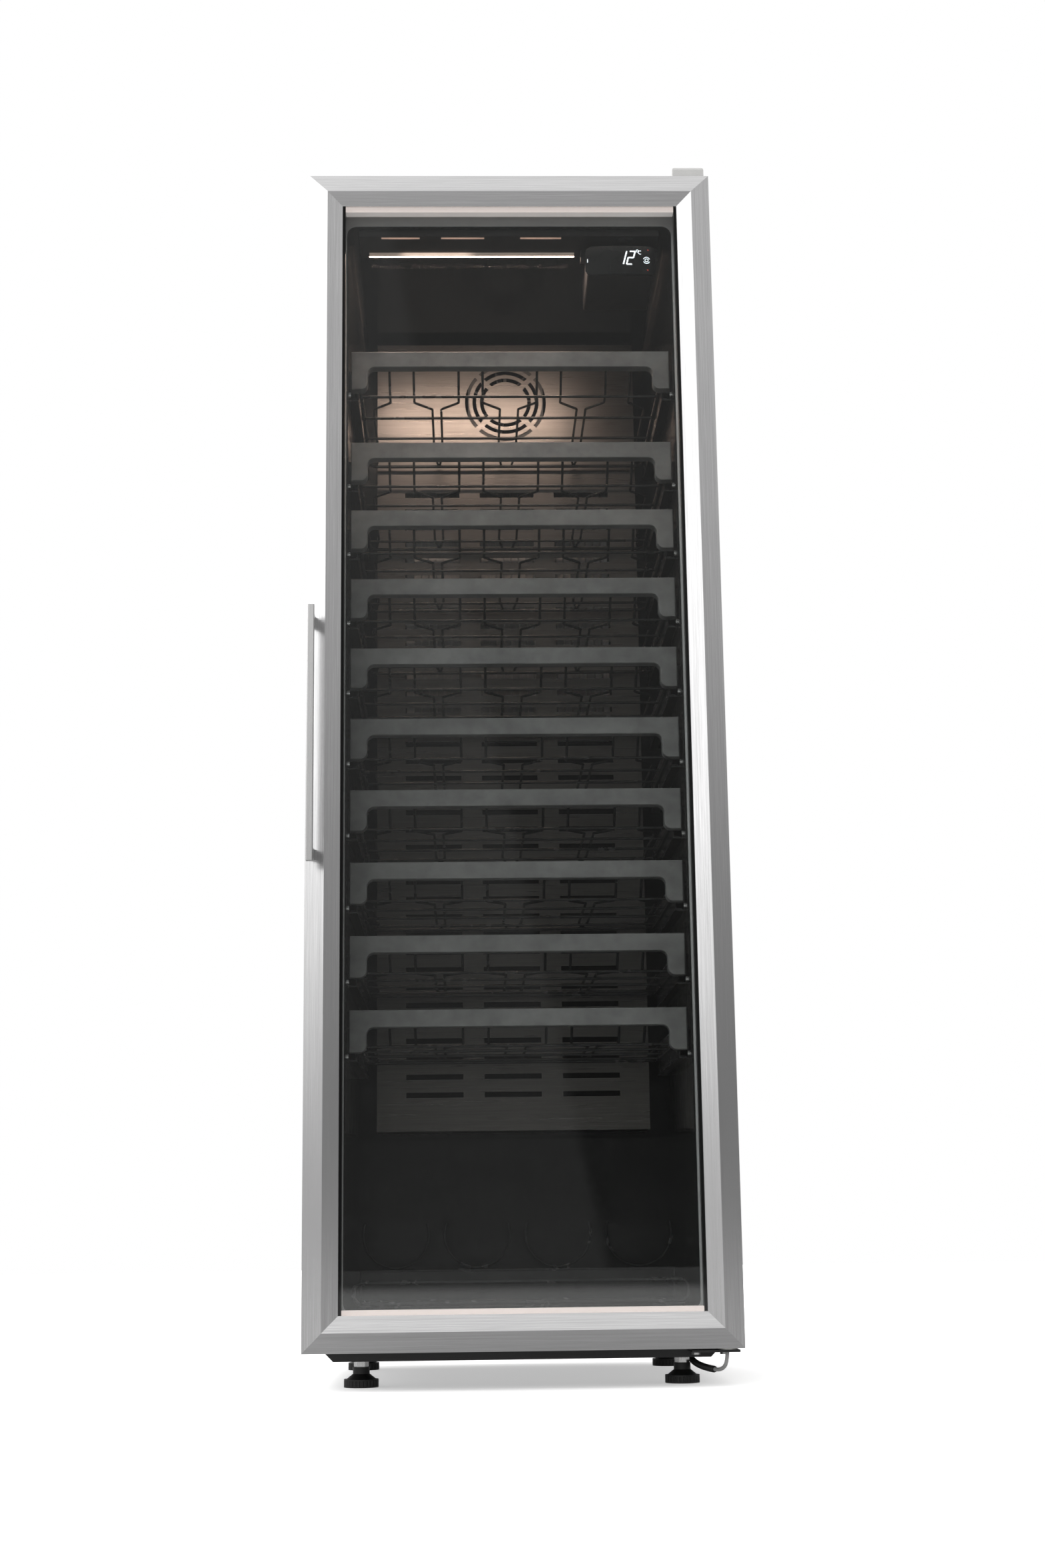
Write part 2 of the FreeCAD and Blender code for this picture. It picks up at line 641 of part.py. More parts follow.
def foot_places():
    """Middle of each levelling foot, by its corner."""
    front = CABINET_FRONT + FRONT_FOOT_SETBACK
    rear = CABINET_BACK - REAR_FOOT_INSET
    return {
        "front_left": (FRONT_FOOT_SIDE - CABINET_HALF, front),
        "front_right": (CABINET_HALF - FRONT_FOOT_SIDE, front),
        "rear_left": (REAR_FOOT_SIDE - CABINET_HALF, rear),
        "rear_right": (CABINET_HALF - REAR_FOOT_SIDE, rear),
    }


def levelling_feet():
    """Four feet with knurled discs and studs, and the hex nuts that lock them."""
    nut_bottom = BASE_BOTTOM - NUT_HEIGHT
    neck_top = nut_bottom - SOFT_CLEARANCE
    disc = rod(FOOT_RADIUS, (0, 0, 0), (0, 0, FOOT_DISC))
    grooves = []
    for number in range(KNURLS):
        angle = 2 * math.pi * number / KNURLS
        x = (FOOT_RADIUS + 0.6) * math.cos(angle)
        y = (FOOT_RADIUS + 0.6) * math.sin(angle)
        grooves.append(rod(1.6, (x, y, 1.5), (x, y, FOOT_DISC - 1.5)))
    disc = disc.cut(Part.makeCompound(grooves))
    cone = Part.makeCone(FOOT_RADIUS - 3, FOOT_NECK_RADIUS, FOOT_CONE, V(0, 0, FOOT_DISC))
    neck = rod(FOOT_NECK_RADIUS, (0, 0, FOOT_DISC + FOOT_CONE), (0, 0, neck_top))
    stud = rod(STUD_RADIUS, (0, 0, neck_top), (0, 0, CABINET_BOTTOM - 1))
    foot = fused([disc, cone, neck, stud])
    nuts = []
    for corner, (x, y) in foot_places().items():
        placed = foot.copy()
        placed.translate(V(x, y, 0))
        save(f"levelling_foot_{corner}", [placed])
        nuts.append(
            hexagon_nut((x, y, nut_bottom), NUT_ACROSS_FLATS, NUT_HEIGHT, STUD_RADIUS + RUNNING_CLEARANCE)
        )
    save("foot_lock_nuts", nuts)


# ---- hinges, cover, door lead ----
def hinges():
    """Upper arm with its pin, lower plate with its hollow pin, the cover, screws and the door lead."""
    arm_half = 17.5
    arm_left = PIVOT_X - 25.5
    arm_right = arm_left + 2 * arm_half
    arm_back = CABINET_FRONT + 72
    arm_top = HINGE_TOP_PLATE + HINGE_PLATE
    arm = box(arm_left, arm_right, PIVOT_DEPTH - 12, arm_back, HINGE_TOP_PLATE, arm_top)
    pad = box(arm_left, arm_right, CABINET_FRONT + 4, arm_back, CABINET_TOP, arm_top)
    pin = rod(
        TOP_PIN_RADIUS, (PIVOT_X, PIVOT_DEPTH, DOOR_TOP - PIN_ENGAGEMENT), (PIVOT_X, PIVOT_DEPTH, arm_top)
    )
    upper = fused([arm, pad, pin])
    screws = []
    middle = (arm_left + arm_right) / 2
    for behind in (17, 37, 57):
        place = CABINET_FRONT + behind
        upper = upper.cut(rod(2.6, (middle, place, CABINET_TOP + 1), (middle, place, arm_top + 1)))
        shank = rod(2.5, (middle, place, CABINET_TOP + 1), (middle, place, arm_top))
        head = rod(4.5, (middle, place, arm_top), (middle, place, arm_top + 2.5))
        screws.append(fused([shank, head]))

    plate_top = HINGE_LOW_PLATE + HINGE_PLATE
    plate = box(PIVOT_X - 47, CABINET_HALF, PIVOT_DEPTH - 12, BASE_FRONT - 1, HINGE_LOW_PLATE, plate_top)
    spacer = box(
        PIVOT_X - 47, CABINET_HALF, CABINET_FRONT + 2, BASE_FRONT - 1, HINGE_LOW_PLATE, CABINET_BOTTOM
    )
    tube = rod(
        LOWER_PIN_RADIUS,
        (PIVOT_X, PIVOT_DEPTH, HINGE_LOW_PLATE),
        (PIVOT_X, PIVOT_DEPTH, DOOR_BOTTOM + PIN_ENGAGEMENT),
    )
    bore = rod(
        LOWER_PIN_BORE,
        (PIVOT_X, PIVOT_DEPTH, HINGE_LOW_PLATE - 1),
        (PIVOT_X, PIVOT_DEPTH, DOOR_BOTTOM + PIN_ENGAGEMENT + 1),
    )
    lower = fused([plate, spacer, tube]).cut(bore)
    for x in (PIVOT_X - 37, PIVOT_X):
        y = CABINET_FRONT + 9
        lower = lower.cut(rod(3.1, (x, y, HINGE_LOW_PLATE - 1), (x, y, CABINET_BOTTOM - 0.5)))
        shank = rod(3.0, (x, y, HINGE_LOW_PLATE), (x, y, CABINET_BOTTOM - 0.6))
        head = hexagon_nut((x, y, HINGE_LOW_PLATE - 5), 10, 5, 0)
        screws.append(fused([shank, head]))
    save("hinge_plates", [upper, lower])

    wall = 2.5
    cover_left = PIVOT_X - 30
    cover_right = cover_left + 44.5
    cover_front = PIVOT_DEPTH - 15
    cover_back = arm_back + 10
    cover_top = DOOR_TOP + HINGE_COVER_HEIGHT
    cover_low = DOOR_TOP + 1.5
    outer = fused([
        box(cover_left, cover_right, cover_front, CABINET_FRONT + 1, cover_low, cover_top),
        box(cover_left, cover_right, CABINET_FRONT, cover_back, CABINET_TOP, cover_top),
    ])
    top_edges = []
    for edge in outer.Edges:
        if edge.BoundBox.ZMin > cover_top - 0.1:
            top_edges.append(edge)
    outer = outer.makeFillet(6.0, top_edges)
    hollow = box(
        cover_left + wall, cover_right - wall, cover_front + wall, cover_back - wall,
        CABINET_TOP - 1, cover_top - wall - 1.5
    )
    save("top_hinge_cover", [outer.cut(hollow)])

    lead_radius = 2.5
    rail_back = BASE_FRONT + BASE_RAIL_DEPTH
    route = [
        (PIVOT_X - 38, rail_back + 48, CABINET_BOTTOM - lead_radius),
        (PIVOT_X - 38, rail_back + 26, BASE_BOTTOM),
        (PIVOT_X - 36, rail_back, BASE_BOTTOM - 7),
        (PIVOT_X - 30, BASE_FRONT + 25, BASE_BOTTOM - 11.5),
        (PIVOT_X - 19, BASE_FRONT - 5, BASE_BOTTOM - 14.5),
        (PIVOT_X - 6, PIVOT_DEPTH + 16, BASE_BOTTOM - 15),
        (PIVOT_X, PIVOT_DEPTH, BASE_BOTTOM - 2),
        (PIVOT_X, PIVOT_DEPTH, CABINET_BOTTOM + 12),
    ]
    lead, radii, length = bent_rod_facts(lead_radius, route, None)
    print("door lead bend radii", radii, "length", round(length, 1))
    print("door lead volume against section times length", round(lead.Volume / (math.pi * lead_radius**2 * length), 4))
    save("door_lead", [lead])
    return screws


# ---- cooling ----
def fan_frame(size):
    """Square fan frame around the Y axis, front face at Y = 0, with hub, struts and shaft."""
    half = size / 2
    frame = rounded_plate(-half, half, -half, half, 0, FAN_DEPTH, 5)
    frame = frame.cut(rod(FAN_BORE, (0, -1, 0), (0, FAN_DEPTH + 1, 0)))
    hub = rod(20, (0, FAN_DEPTH - 8, 0), (0, FAN_DEPTH, 0))
    shaft = rod(FAN_SHAFT, (0, 5, 0), (0, FAN_DEPTH - 7, 0))
    parts = [frame, hub, shaft]
    for number in range(3):
        strut = box(0, FAN_BORE + 2, FAN_DEPTH - 6, FAN_DEPTH, -2.5, 2.5)
        strut.rotate(V(0, 0, 0), V(0, 1, 0), 120 * number + 30)
        parts.append(strut)
    return fused(parts)


def fan_rotor():
    """Seven pitched blades on a hub that runs on the fan's shaft."""
    hub_radius = 19.0
    back = FAN_DEPTH - 9.0
    hub = rod(hub_radius, (0, 4, 0), (0, back, 0))
    blades = []
    for number in range(7):
        blade = box(hub_radius - 4, FAN_BORE - FAN_TIP_GAP, -0.8, 0.8, -11, 11)
        blade.rotate(V(0, 0, 0), V(1, 0, 0), 62)
        blade.translate(V(0, (back + 4) / 2, 0))
        blade.rotate(V(0, 0, 0), V(0, 1, 0), 360 * number / 7)
        blades.append(blade)
    tips = rod(FAN_BORE - FAN_TIP_GAP, (0, 3.5, 0), (0, back, 0))
    rotor = fused([hub, *blades]).common(tips)
    return rotor.cut(rod(FAN_SHAFT + RUNNING_CLEARANCE, (0, 0, 0), (0, back + 1, 0)))


def finned_coil(x0, x1, y0, y1, z0, z1, pitch):
    """Block of fins with the tube's return bends at both ends."""
    block = box(x0, x1, y0, y1, z0, z1)
    slots = []
    count = int((x1 - x0 - pitch) / pitch)
    for number in range(count):
        x = x0 + pitch * (number + 1)
        slots.append(box(x, x + pitch - FIN, y0 - 1, y1 - FIN_SPINE, z0 - 1, z1 + 1))
    block = block.cut(Part.makeCompound(slots))
    bends = []
    tube = 4.0
    spacing = 25.0
    rows = int((z1 - z0) / (2 * spacing))
    for row in range(rows):
        middle = z0 + spacing * (2 * row + 1)
        for x, sense in ((x0, -1), (x1, 1)):
            bends.append(
                bent_rod(
                    tube,
                    [
                        (x - sense * 3, (y0 + y1) / 2 + 4, middle - spacing / 2),
                        (x + sense * 12, (y0 + y1) / 2 + 4, middle - spacing / 2),
                        (x + sense * 12, (y0 + y1) / 2 + 4, middle + spacing / 2),
                        (x - sense * 3, (y0 + y1) / 2 + 4, middle + spacing / 2),
                    ],
                    9,
                )
            )
    return fused([block, *bends])


def cooling():
    """Duct panel with the evaporator and its fan behind it, and the machine space at the back."""
    panel = box(-DUCT_HALF_WIDTH, DUCT_HALF_WIDTH, DUCT_FACE, CAVITY_BACK, DUCT_BOTTOM, DUCT_TOP)
    inside = box(
        -DUCT_HALF_WIDTH + SHEET, DUCT_HALF_WIDTH - SHEET, DUCT_FACE + SHEET, CAVITY_BACK + 1,
        DUCT_BOTTOM + SHEET, DUCT_TOP - SHEET
    )
    cuts = []
    for inner, outer in GUARD_SLOTS:
        annulus = rod(outer, (0, DUCT_FACE - 1, FAN_HEIGHT), (0, DUCT_FACE + 3, FAN_HEIGHT)).cut(
            rod(inner, (0, DUCT_FACE - 2, FAN_HEIGHT), (0, DUCT_FACE + 4, FAN_HEIGHT))
        )
        for turn in (45, 135):
            spoke = box(-70, 70, DUCT_FACE - 2, DUCT_FACE + 4, -4, 4)
            spoke.rotate(V(0, 0, 0), V(0, 1, 0), turn)
            spoke.translate(V(0, 0, FAN_HEIGHT))
            annulus = annulus.cut(spoke)
        cuts.append(annulus)
    first_row = FAN_HEIGHT - 160
    rows = int((first_row - DUCT_BOTTOM - 20) / LOUVRE_PITCH)
    side_columns = int((DUCT_HALF_WIDTH - LOUVRE_WIDTH / 2 - LOUVRE_SIDE_ROOM) / LOUVRE_COLUMN_PITCH)
    for row in range(rows):
        low = first_row - LOUVRE_PITCH * row
        for column in range(-side_columns, side_columns + 1):
            middle = column * LOUVRE_COLUMN_PITCH
            cuts.append(
                box(middle - LOUVRE_WIDTH / 2, middle + LOUVRE_WIDTH / 2, DUCT_FACE - 1, DUCT_FACE + 3,
                    low, low + LOUVRE_HEIGHT)
            )
    save("duct_panel", [panel.cut(inside).cut(Part.makeCompound(cuts))])

    coil_top = FAN_HEIGHT - FAN_SIZE / 2 - 30
    coil_half = DUCT_HALF_WIDTH - 45
    coil = finned_coil(
        -coil_half, coil_half, CAVITY_BACK - 50, CAVITY_BACK, coil_top - 450, coil_top, 12
    )
    save("evaporator_coil", [coil])

    frame = fan_frame(FAN_SIZE)
    rotor = fan_rotor()
    inside_frame = frame.copy()
    inside_frame.translate(V(0, DUCT_FACE + SHEET, FAN_HEIGHT))
    inside_rotor = rotor.copy()
    inside_rotor.translate(V(0, DUCT_FACE + SHEET, FAN_HEIGHT))
    machine_middle = (BULKHEAD + SHEET + CABINET_BACK - SHEET) / 2
    condenser_left = -CABINET_HALF + CONDENSER_SIDE_GAP
    condenser_right = condenser_left + CONDENSER_WIDTH
    fan_place = V(condenser_right + CONDENSER_TO_FAN, machine_middle, MACHINE_FLOOR + CONDENSER_FAN_SIZE / 2)
    outside = []
    for shape in (fan_frame(CONDENSER_FAN_SIZE), rotor):
        turned = shape.copy()
        turned.rotate(V(0, 0, 0), V(0, 0, 1), -90)
        turned.translate(fan_place)
        outside.append(turned)
    save("fan_frames", [inside_frame, outside[0]])
    save("evaporator_fan_rotor", [inside_rotor])
    save("condenser_fan_rotor", [outside[1]])

    coil = finned_coil(
        condenser_left, condenser_right, machine_middle - 50, machine_middle + 50,
        MACHINE_FLOOR, MACHINE_FLOOR + CONDENSER_HEIGHT, 6
    )
    save("condenser_coil", [coil])
    compressor(machine_middle)
    machine_cover()


def compressor(middle):
    """Hermetic compressor on its feet, with the drip tray on top of it."""
    x = CABINET_HALF - COMPRESSOR_SIDE
    radius = COMPRESSOR_RADIUS
    can_bottom = MACHINE_FLOOR + 14
    can_height = COMPRESSOR_HEIGHT
    can = rod(radius, (x, middle, can_bottom), (x, middle, can_bottom + can_height))
    rims = [edge for edge in can.Edges if edge.Length > 2 * math.pi * radius - 1]
    can = can.makeFillet(26, rims)
    plate = box(x - 70, x + 70, middle - 50, middle + 50, can_bottom + 2, can_bottom + 5)
    parts = [can, plate]
    for sx in (-58, 58):
        for sy in (-38, 38):
            parts.append(
                rod(9, (x + sx, middle + sy, MACHINE_FLOOR), (x + sx, middle + sy, can_bottom + 3))
            )
    can_top = can_bottom + can_height
    tray_bottom = can_top + 6
    parts.append(rod(24, (x, middle, can_top - 3), (x, middle, tray_bottom)))
    parts.append(
        bent_rod(3, [(x - 45, middle, can_top - 30), (x - 70, middle, can_top - 30),
                     (x - 70, middle, can_top + 10)], 8)
    )
    parts.append(
        bent_rod(4, [(x + 45, middle, can_top - 40), (x + 75, middle, can_top - 40),
                     (x + 75, middle, can_top + 10)], 10)
    )
    save("compressor", [fused(parts)])
    tray = box(x - 62, x + 62, middle - 48, middle + 48, tray_bottom, tray_bottom + 24)
    save("drip_tray", [tray.cut(box(x - 60, x + 60, middle - 46, middle + 46, tray_bottom + 2, tray_bottom + 25))])


def machine_cover():
    """Slotted grille over the machine space and the socket for the mains cord."""
    inner = CABINET_HALF - SHEET
    grille = box(-inner, inner, CABINET_BACK - SHEET, CABINET_BACK, MACHINE_FLOOR, MACHINE_CEILING)
    cuts = []
    slot = 46.0
    rib = 8.0
    columns = int((2 * inner - 140) / (slot + rib))
    for column in range(columns):
        for row in range(14):
            x = -inner + 20 + column * (slot + rib)
            z = MACHINE_FLOOR + 22 + row * 14
            cuts.append(box(x, x + slot, CABINET_BACK - 3, CABINET_BACK + 1, z, z + 6))
    inlet_x = CABINET_HALF - INLET_SIDE
    inlet_z = MACHINE_FLOOR + 50
    hole = box(inlet_x - 24, inlet_x + 24, CABINET_BACK - 3, CABINET_BACK + 1, inlet_z - 14, inlet_z + 14)
    save("machine_grille", [grille.cut(Part.makeCompound(cuts + [hole]))])
    body = box(inlet_x - 24, inlet_x + 24, CABINET_BACK - 24, CABINET_BACK, inlet_z - 14, inlet_z + 14)
    recess = box(inlet_x - 12.5, inlet_x + 12.5, CABINET_BACK - 20, CABINET_BACK + 1, inlet_z - 9, inlet_z + 9)
    pins = []
    for x, z in ((-7, -2), (0, 3), (7, -2)):
        pins.append(
            box(inlet_x + x - 1, inlet_x + x + 1, CABINET_BACK - 21, CABINET_BACK - 5,
                inlet_z + z - 2.5, inlet_z + z + 2.5)
        )
    save("mains_inlet", [fused([body.cut(recess), *pins])])


# ---- header strip, controller ----
def header_and_controller():
    """Light bar under the ceiling, its lens, the rocker switch and the hanging controller."""
    half = CAVITY_HALF - HEADER_SIDE_GAP
    bar = box(-half, half, HEADER_FRONT, HEADER_BACK, HEADER_BOTTOM, CAVITY_CEILING)
    lens_left = -half + 12
    lens_right = CONTROLLER_LEFT - 14
    groove = box(lens_left, lens_right, HEADER_BACK - 16, HEADER_BACK - 4, HEADER_BOTTOM - 1, HEADER_BOTTOM + 3)
    lens = box(lens_left, lens_right, HEADER_BACK - 16, HEADER_BACK - 4, HEADER_BOTTOM - 1.5, HEADER_BOTTOM + 3)
    switch_y = HEADER_FRONT + 11
    pivot_z = HEADER_BOTTOM + 3
    pocket = box(
        SWITCH_X - SWITCH_WIDTH / 2 - 1, SWITCH_X + SWITCH_WIDTH / 2 + 1,
        switch_y - SWITCH_DEPTH / 2 - 0.5, switch_y + SWITCH_DEPTH / 2 + 0.5,
        HEADER_BOTTOM - 1, HEADER_BOTTOM + 7,
    )
    socket = rod(
        1.2 + RUNNING_CLEARANCE,
        (SWITCH_X, switch_y - SWITCH_DEPTH / 2 - 3, pivot_z),
        (SWITCH_X, switch_y + SWITCH_DEPTH / 2 + 3, pivot_z),
    )
    save("light_bar", [bar.cut(groove).cut(pocket).cut(socket)])
    save("light_lens", [lens])
    profile = [
        (SWITCH_X - SWITCH_WIDTH / 2, switch_y - SWITCH_DEPTH / 2, HEADER_BOTTOM - 3),
        (SWITCH_X, switch_y - SWITCH_DEPTH / 2, HEADER_BOTTOM - 1.5),
        (SWITCH_X + SWITCH_WIDTH / 2, switch_y - SWITCH_DEPTH / 2, HEADER_BOTTOM - 3),
        (SWITCH_X + SWITCH_WIDTH / 2 - 2, switch_y - SWITCH_DEPTH / 2, HEADER_BOTTOM + 4.5),
        (SWITCH_X - SWITCH_WIDTH / 2 + 2, switch_y - SWITCH_DEPTH / 2, HEADER_BOTTOM + 4.5),
    ]
    rocker = prism(profile, (0, SWITCH_DEPTH, 0))
    trunnion = rod(
        1.2,
        (SWITCH_X, switch_y - SWITCH_DEPTH / 2 - 2.8, pivot_z),
        (SWITCH_X, switch_y + SWITCH_DEPTH / 2 + 2.8, pivot_z),
    )
    save("light_switch_rocker", [fused([rocker, trunnion])])

    left = CONTROLLER_LEFT
    right = CONTROLLER_LEFT + CONTROLLER_WIDTH
    bottom = CONTROLLER_TOP - CONTROLLER_HEIGHT
    back = CONTROLLER_FRONT + CONTROLLER_DEPTH
    body_front = CONTROLLER_FRONT + WINDOW_DEPTH
    body = box(left + 3, right - 3, body_front, back, bottom + 2, CONTROLLER_TOP - 1)
    lower_edges = []
    for edge in body.Edges:
        if edge.BoundBox.ZMax < bottom + 2.1:
            lower_edges.append(edge)
    body = body.makeFillet(3.0, lower_edges)
    parts = [body]
    posts_front = HEADER_BACK - 12
    parts.append(box(left - 5, left + 7, posts_front - 12, posts_front, CONTROLLER_TOP - 6, HEADER_BOTTOM))
    parts.append(box(right - 7, right + 5, posts_front - 12, posts_front, CONTROLLER_TOP - 6, HEADER_BOTTOM))
    parts.append(box(left + 20, right - 20, back - 20, back - 4, CONTROLLER_TOP - 3, CAVITY_CEILING))
    save("controller_housing", [fused(parts)])

    blank = rounded_plate(left, right, bottom, CONTROLLER_TOP, CONTROLLER_FRONT, body_front, 9)
    reach = (right - left) / 2
    bow_radius = (reach**2 + WINDOW_BOW**2) / (2 * WINDOW_BOW)
    middle = (left + right) / 2
    bow = rod(
        bow_radius,
        (middle, CONTROLLER_FRONT + bow_radius, bottom - 1),
        (middle, CONTROLLER_FRONT + bow_radius, CONTROLLER_TOP + 1),
    )
    save("controller_window", [blank.common(bow)])


# ---- shelves ----
def fascia():
    """Bracket-shaped front with its top edge at Z = 0."""
    half = FASCIA_HALF
    inner = half - FASCIA_LEG
    radius = FASCIA_FILLET
    edges = []
    low = -FASCIA_HEIGHT
    bar = -FASCIA_BAR
    turn = radius * (1 - math.sqrt(0.5))

    def line(start, end):
        edges.append(Part.LineSegment(V(start[0], 0, start[1]), V(end[0], 0, end[1])).toShape())

    def arc(start, middle, end):
        edges.append(
            Part.Arc(V(start[0], 0, start[1]), V(middle[0], 0, middle[1]), V(end[0], 0, end[1])).toShape()
        )

    line((-half, low), (-inner - radius, low))
    arc((-inner - radius, low), (-inner - turn, low + turn), (-inner, low + radius))
    line((-inner, low + radius), (-inner, bar - radius))
    arc((-inner, bar - radius), (-inner + turn, bar - turn), (-inner + radius, bar))
    line((-inner + radius, bar), (inner - radius, bar))
    arc((inner - radius, bar), (inner - turn, bar - turn), (inner, bar - radius))
    line((inner, bar - radius), (inner, low + radius))
    arc((inner, low + radius), (inner + turn, low + turn), (inner + radius, low))
    line((inner + radius, low), (half, low))
    line((half, low), (half, 0))
    line((half, 0), (-half, 0))
    line((-half, 0), (-half, low))
    shape = Part.Face(Part.Wire(edges)).extrude(V(0, FASCIA_THICKNESS, 0))
    front_edges = [edge for edge in shape.Edges if edge.BoundBox.YMax < 0.01]
    shape = shape.makeFillet(FASCIA_EDGE, front_edges)
    shape.translate(V(0, FASCIA_FRONT, 0))
    return shape


def rack():
    """Solids of a wire rack with its sliding members, butted together, for a fascia top at Z = 0."""
    level = -RUNNER_DROP - RUNNER_HEIGHT / 2
    member_web = CAVITY_HALF - RUNNER_WIDTH
    member_height = RUNNER_HEIGHT - 2 * RUNNER_WALL - 2 * SOFT_CLEARANCE
    member_parts = [
        box(
            member_web, member_web + RUNNER_WALL, RUNNER_FRONT, RACK_END - 6,
            level - member_height / 2, level + member_height / 2,
        )
    ]
    for low in (level - member_height / 2, level + member_height / 2 - RUNNER_WALL):
        flange = box(
            member_web + RUNNER_WALL / 2, CAVITY_HALF - RUNNER_WALL - 2, RUNNER_FRONT, RACK_END - 6,
            low, low + RUNNER_WALL,
        )
        member_parts.append(flange)
    member = fused(member_parts)
    members = [member, mirrored(member)]

    side = member_web - FRAME_WIRE + WELD_SINK
    mat_front = FASCIA_BACK + MAT_SETBACK
    mat_parts = [
        bent_rod(
            FRAME_WIRE,
            [
                (-side, mat_front, level),
                (-side, RACK_END, level),
                (side, RACK_END, level),
                (side, mat_front, level),
            ],
            12,
        )
    ]
    solids = list(members)
    front_rod = rod(FRAME_WIRE, (side, FASCIA_BACK, level), (side, mat_front, level)).cut(member)
    solids.extend([front_rod, mirrored(front_rod)])
    span = RACK_END - FASCIA_BACK
    for share in (0.13, 0.38, 0.63, 0.88):
        y = FASCIA_BACK + span * share
        mat_parts.append(rod(CROSS_WIRE, (-side, y, level), (side, y, level)))
    body_level = level + CROSS_WIRE + CRADLE_WIRE - WELD_SINK
    neck_level = -FASCIA_BAR / 2
    shoulder = FASCIA_BACK + span * 0.30
    narrow = CRADLE_HALF_WIDTH - NECK_HALF_WIDTH
    room = side - CRADLE_HALF_WIDTH - BOTTLE_SIDE_ROOM - MIDDLE_BOTTLE
    fall_start = FASCIA_BACK + NECK_REST_FLAT
    fall_end = fall_start + NECK_REST_FALL
    rest_end = fall_end + NECK_REST_TAIL
    for step in range(int(room / BOTTLE_PITCH) + 1):
        offset = MIDDLE_BOTTLE + BOTTLE_PITCH * step
        for centre in (-offset, offset):
            for sense in (-1, 1):
                wide = centre + sense * CRADLE_HALF_WIDTH
                near = centre + sense * NECK_HALF_WIDTH
                neck_rest = bent_rod(
                    CRADLE_WIRE,
                    [
                        (near, FASCIA_BACK, neck_level),
                        (near, fall_start, neck_level),
                        (near, fall_end, body_level),
                        (near, rest_end, body_level),
                    ],
                    CRADLE_BEND,
                )
                solids.append(neck_rest)
                mat_parts.append(
                    bent_rod(
                        CRADLE_WIRE,
                        [
                            (near, rest_end, body_level),
                            (near, shoulder - narrow, body_level),
                            (wide, shoulder, body_level),
                            (wide, RACK_END - 42, body_level),
                            (wide + sense * 5, RACK_END, body_level),
                        ],
                        CRADLE_BEND,
                    )
                )
    solids.append(fused(mat_parts).cut(Part.makeCompound(members)))
    return solids


def shelves():
    """Ten shelves, their runners on the walls and the runner screws."""
    front = fascia()
    wires = rack()
    runners = []
    screws = []
    for number, top in enumerate(SHELF_TOPS, start=1):
        for name, shapes in (("shelf_fascia", [front]), ("shelf_rack", wires)):
            placed = [shape.translated(V(0, 0, top)) for shape in shapes]
            save(f"{name}_{number:02d}", placed)
        high = top - RUNNER_DROP
        low = high - RUNNER_HEIGHT
        wall = CAVITY_HALF
        channel = box(wall - RUNNER_WIDTH, wall, RUNNER_FRONT, RACK_END, low, high)
        slot = box(
            wall - RUNNER_WIDTH - 1, wall - RUNNER_WALL, RUNNER_FRONT - 1, RACK_END + 1,
            low + RUNNER_WALL, high - RUNNER_WALL,
        )
        runner = channel.cut(slot)
        runners.extend([runner, mirrored(runner)])
        screw_y = RUNNER_FRONT - 8
        screw = rod(4.0, (wall - 2.2, screw_y, low + 6), (wall, screw_y, low + 6))
        screws.extend([screw, mirrored(screw)])
    save("shelf_runners", runners)
    return screws


